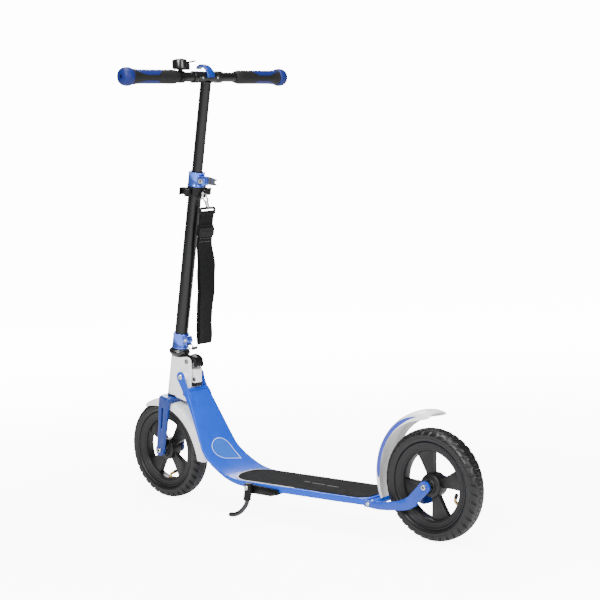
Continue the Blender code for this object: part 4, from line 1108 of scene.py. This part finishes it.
def quick_release():
    """The height clamp's through bolt and its forked lever, on the clamp's ears."""
    back = -0.0245
    profile = [(0.0, 0.01), (0.0066, 0.01), (0.0066, 0.0122), (0.006, 0.014)]
    nut = revolve(profile + [(0.0036, 0.0143), (0.003, 0.0125), (0.0, 0.0125)], 40)
    screw = joined(nut, rod((0, 0, -0.0102), (0, 0, 0.0105), 0.0028, 24))
    screw.transform(ALONG_Y)
    screw = moved(screw, back, 0, CLAMP_MIDDLE)
    place("clamp_nut", screw, "steel", "steering", STEER, ["clamp_bolt"], sharp=30)
    y = -0.0148
    barrel = rod((back, y, CLAMP_MIDDLE - 0.0088), (back, y, CLAMP_MIDDLE + 0.0088), 0.0042, 32)
    edge = [(-0.033, 0.0088), (-0.044, 0.0074), (-0.0482, 0.0064), (-0.0484, 0.0036), (-0.0432, 0.003)]
    palm = [(back, -0.0085), (back, 0.0085)] + edge + [(-0.042, 0.0)] + flipped(edge)
    arm = plate(rounded(about(0.0, CLAMP_MIDDLE, palm), 0.0014, 3), y - 0.0036, y + 0.0014)
    low, high = CLAMP_MIDDLE - 0.0066, CLAMP_MIDDLE + 0.0066
    ribs = []
    for k in range(4):
        step = 0.0032 * k
        ribs.append(box((-0.031 - step, y - 0.0044, low), (-0.0294 - step, y - 0.003, high)))
    lever = joined(barrel, arm, *ribs)
    replaced = ["quick_release_lever"]
    place("clamp_lever", lever, "lever_grey", "quick_release", STEER, replaced, bevel=0.0004)


def rivet_and_seal():
    """The rivet of the handle clip, and the ring under the head tube."""
    rivet = moved(facing(1, socket_head(0.004, 0.0018)), -0.0275, 0.0016, CLIP_HEIGHT)
    place("clip_rivet", rivet, "grey_metal", "steering", STEER, sharp=30)
    wall = [(0.015, 0.1327), (0.0176, 0.1327), (0.0182, 0.1336)]
    wall += [(0.0182, 0.1352), (0.0172, 0.1361), (0.015, 0.1361)]
    place("crown_seal", revolve(wall, 64), "black_plastic", "steering", STEER, sharp=50)


def hook():
    """The carry hook: a broad curved tongue, rounded across."""
    spine = [(-0.015, 0.0012, 0.003), (-0.014, 0.007, 0.003), (-0.0095, 0.014, 0.0033)]
    spine += [(-0.001, 0.02, 0.0034), (0.008, 0.0232, 0.0034), (0.017, 0.023, 0.0033)]
    spine += [(0.024, 0.019, 0.003), (0.0268, 0.0145, 0.0022)]
    line = smooth_path(spine, 6)
    sections = []
    for i, spot in enumerate(line):
        ahead = line[min(i + 1, len(line) - 1)] - line[max(i - 1, 0)]
        normal = Vector((-ahead.y, ahead.x)).normalized()
        half = 0.0115 * (1 - 0.25 * ease(i / len(line)))
        section = []
        for k in range(28):
            a = 2 * math.pi * k / 28
            across = half * math.copysign(abs(math.cos(a)) ** 0.55, math.cos(a))
            out = spot.z * math.copysign(abs(math.sin(a)) ** 0.7, math.sin(a))
            section.append((spot.x + normal.x * out, across, BAR_S + spot.y + normal.y * out))
        sections.append(section)
    tongue = loft(sections)
    replaced = ["carry_hook"]
    place("bag_hook", tongue, "fork_blue", "upper_stem", STEER, replaced, sharp=50, slot="anodised_blue")


def kickstand():
    x, z = 0.064, 0.072
    low, high = 0.0682, 0.08
    middle = (low + high) / 2
    sections = []
    for i in range(41):
        t = i / 40
        shift = 0.0065 * ease((t - 0.25) / 0.75) - 0.001
        half = 0.0084 + 0.0011 * math.sin(math.pi * min(1.0, t * 1.6)) - 0.0006 * t
        rib = 0.0007 if t > 0.38 and i % 4 in (0, 1) else 0.0
        outline = rounded(rectangle(rib - half, half - rib, low + rib, high - rib), 0.0024, 4)
        height = z + 0.0085 - 0.0385 * t
        sections.append([(x + shift + dx, y, height) for dx, y in outline])
    sleeve = loft(sections)
    place("stand_sleeve", sleeve, "black_plastic", "kickstand", replaces=["kickstand_sleeve"], sharp=50)
    route = [(0.0055, 0.0, -0.029), (0.0068, 0.0, -0.035), (0.012, 0.001, -0.044)]
    route += [(0.023, 0.004, -0.056), (0.036, 0.008, -0.063), (0.048, 0.011, -0.0642)]
    line = smooth_path([(x + ahead, middle + out, z + up) for ahead, out, up in route], 8)
    leg = wire(line, 0.005, 24)
    ball = bmesh.new()
    bmesh.ops.create_uvsphere(ball, u_segments=24, v_segments=12, radius=0.0051)
    ball.transform(Matrix.Translation(line[-1]))
    place("stand_leg", joined(leg, ball), "black_metal", "kickstand", replaces=["kickstand_leg"], sharp=60)
    plug = moved(facing(1, socket_head(0.0056, 0.0026)), x, 0.0803, z)
    place("stand_bolt_head", plug, "steel", "frame", sharp=30)


def axle_bolts():
    """Slim socket-head axles in place of the CAD model's plain ones."""
    for word, body, where, inside, outside in (
        ("rear", "frame", Matrix.Translation((REAR_X, 0, WHEEL_R)), 0.0285, 0.0343),
        ("front", "steering", STEER, 0.0262, 0.0338),
    ):
        half = [(0.0039, 0.0218), (0.0058, 0.0218), (0.0058, inside), (0.0039, inside), (0.0039, outside)]
        half += [(0.0056, outside), (0.0056, outside + 0.0026), (0.0048, outside + 0.0036)]
        half += [(0.003, outside + 0.0038), (0.0028, outside + 0.0016), (0.0, outside + 0.0016)]
        bm = revolve(flipped(half) + half, 48)
        bm.transform(ALONG_Y)
        place(f"{word}_axle_bolt", bm, "steel", body, where, replaces=[f"{word}_axle"], sharp=30)
        for side, hand in SIDES:
            washer = [(0.006, 0.0221), (0.0108, 0.0221), (0.01, 0.0262), (0.006, 0.0262)]
            spacer = facing(side, revolve(washer, 48))
            place(f"{word}_spacer_{hand}", spacer, "black_plastic", body, where)
            # Painted shade: a thin near-black hexagon at the bottom of each bolt head's recess stands for
            # the shade inside the hex socket.
            socket_shade = revolve([(0.0, 0.0), (0.0027, 0.0), (0.0027, 0.0003), (0.0, 0.0003)], 6)
            socket = moved(facing(side, socket_shade), y=side * (outside + 0.0017))
            place(f"{word}_socket_{hand}", socket, "painted_hole_shade", body, where, slot="steel")


def pieces():
    deck_skin()
    neck_top()
    neck_gussets()
    grip_mat()
    emblem()
    head_shell()
    latch_grip()
    latch_housing()
    refined_nodes()
    collars()
    quick_release()
    rivet_and_seal()
    hook()
    kickstand()
    wheel("rear", "rear_wheel", REAR_X, math.radians(77), math.radians(-150), BENT_VALVE)
    wheel("front", "front_wheel", FRONT_X, math.radians(47), math.radians(-86), SIDE_VALVE)
    axle_bolts()
    fenders()
    handles()
    bell()
    stem()
    strap()
    strap_hardware()


# Studio: the camera sees a bright backdrop, as a photographer's white sweep would look

WORLD_LIGHT = 0.22
BACKDROP_LIGHT = 14.0
FLOOR_LIGHT = 8.0
LAMPS = (
    ("key", (-1.6, 3.2, 2.6), 1.6, 240.0),
    ("fill", (-3.4, 0.2, 1.6), 2.0, 85.0),
    ("back", (2.6, -2.2, 2.6), 1.4, 95.0),
    ("top", (0.0, 0.3, 3.4), 2.2, 120.0),
)
AIM = Vector((0, 0, 0.4))


def floor():
    """A white floor, which glows for the camera and more so further off, to meet the backdrop."""
    mesh = bpy.data.meshes.new("floor")
    mesh.from_pydata([(-30, -30, 0), (30, -30, 0), (30, 30, 0), (-30, 30, 0)], [], [(0, 1, 2, 3)])
    obj = bpy.data.objects.new("floor", mesh)
    bpy.context.scene.collection.objects.link(obj)
    look = bpy.data.materials.new("studio_floor")
    look.use_nodes = True
    tree = look.node_tree
    shader = tree.nodes["Principled BSDF"]
    shader.inputs["Base Color"].default_value = (0.93, 0.93, 0.93, 1)
    shader.inputs["Roughness"].default_value = 0.9
    shader.inputs["Specular IOR Level"].default_value = 0.1
    shader.inputs["Emission Color"].default_value = (1, 1, 1, 1)
    spot = add(tree, "ShaderNodeTexCoord").outputs["Object"]
    distance = add(tree, "ShaderNodeVectorMath", Vector=spot)
    distance.operation = "LENGTH"
    level = add(tree, "ShaderNodeMapRange", Value=distance.outputs["Value"], From_Min=0.7, From_Max=3.0)
    level.inputs["To Min"].default_value = FLOOR_LIGHT
    level.inputs["To Max"].default_value = BACKDROP_LIGHT
    seen = add(tree, "ShaderNodeLightPath").outputs["Is Camera Ray"]
    glow = add(tree, "ShaderNodeMapRange", Value=seen, To_Min=0.0, To_Max=level.outputs["Result"])
    tree.links.new(glow.outputs["Result"], shader.inputs["Emission Strength"])
    mesh.materials.append(look)


def backdrop():
    world = bpy.data.worlds.new("studio")
    bpy.context.scene.world = world
    world.use_nodes = True
    tree = world.node_tree
    sky = tree.nodes["Background"]
    sky.inputs["Color"].default_value = (1, 1, 1, 1)
    seen = add(tree, "ShaderNodeLightPath").outputs["Is Camera Ray"]
    level = add(tree, "ShaderNodeMapRange", Value=seen, To_Min=WORLD_LIGHT, To_Max=BACKDROP_LIGHT)
    tree.links.new(level.outputs["Result"], sky.inputs["Strength"])


def lamps():
    for name, spot, size, power in LAMPS:
        lamp = bpy.data.lights.new(name, "AREA")
        lamp.shape = "DISK"
        lamp.size = size
        lamp.energy = power
        holder = bpy.data.objects.new(name, lamp)
        bpy.context.scene.collection.objects.link(holder)
        holder.location = spot
        holder.rotation_euler = (AIM - Vector(spot)).to_track_quat("-Z", "Y").to_euler()


# The camera, fitted to the photo: its place, its yaw, pitch and roll in degrees, and its field of view
CAMERA_SPOT = (-2.2973, 2.399, 0.7848)
CAMERA_TURN = (-46.848, 5.3236, -2.7676)
CAMERA_VIEW = 2 * math.atan(300 / 1541)


def camera():
    lens = bpy.data.cameras.new("camera")
    lens.sensor_width = 36.0
    lens.angle = CAMERA_VIEW
    eye = bpy.data.objects.new("camera", lens)
    bpy.context.scene.collection.objects.link(eye)
    yaw, pitch, roll = (math.radians(a) for a in CAMERA_TURN)
    ahead = Vector((math.cos(yaw) * math.cos(pitch), math.sin(yaw) * math.cos(pitch), -math.sin(pitch)))
    right = Vector((math.sin(yaw), -math.cos(yaw), 0.0))
    up = right.cross(ahead)
    level = math.cos(roll) * right + math.sin(roll) * up
    upright = -math.sin(roll) * right + math.cos(roll) * up
    turn = Matrix((level, upright, -ahead)).transposed()
    eye.matrix_world = Matrix.Translation(CAMERA_SPOT) @ turn.to_4x4()
    bpy.context.scene.camera = eye


make_materials()
paint_frame()
pieces()
floor()
backdrop()
lamps()
camera()
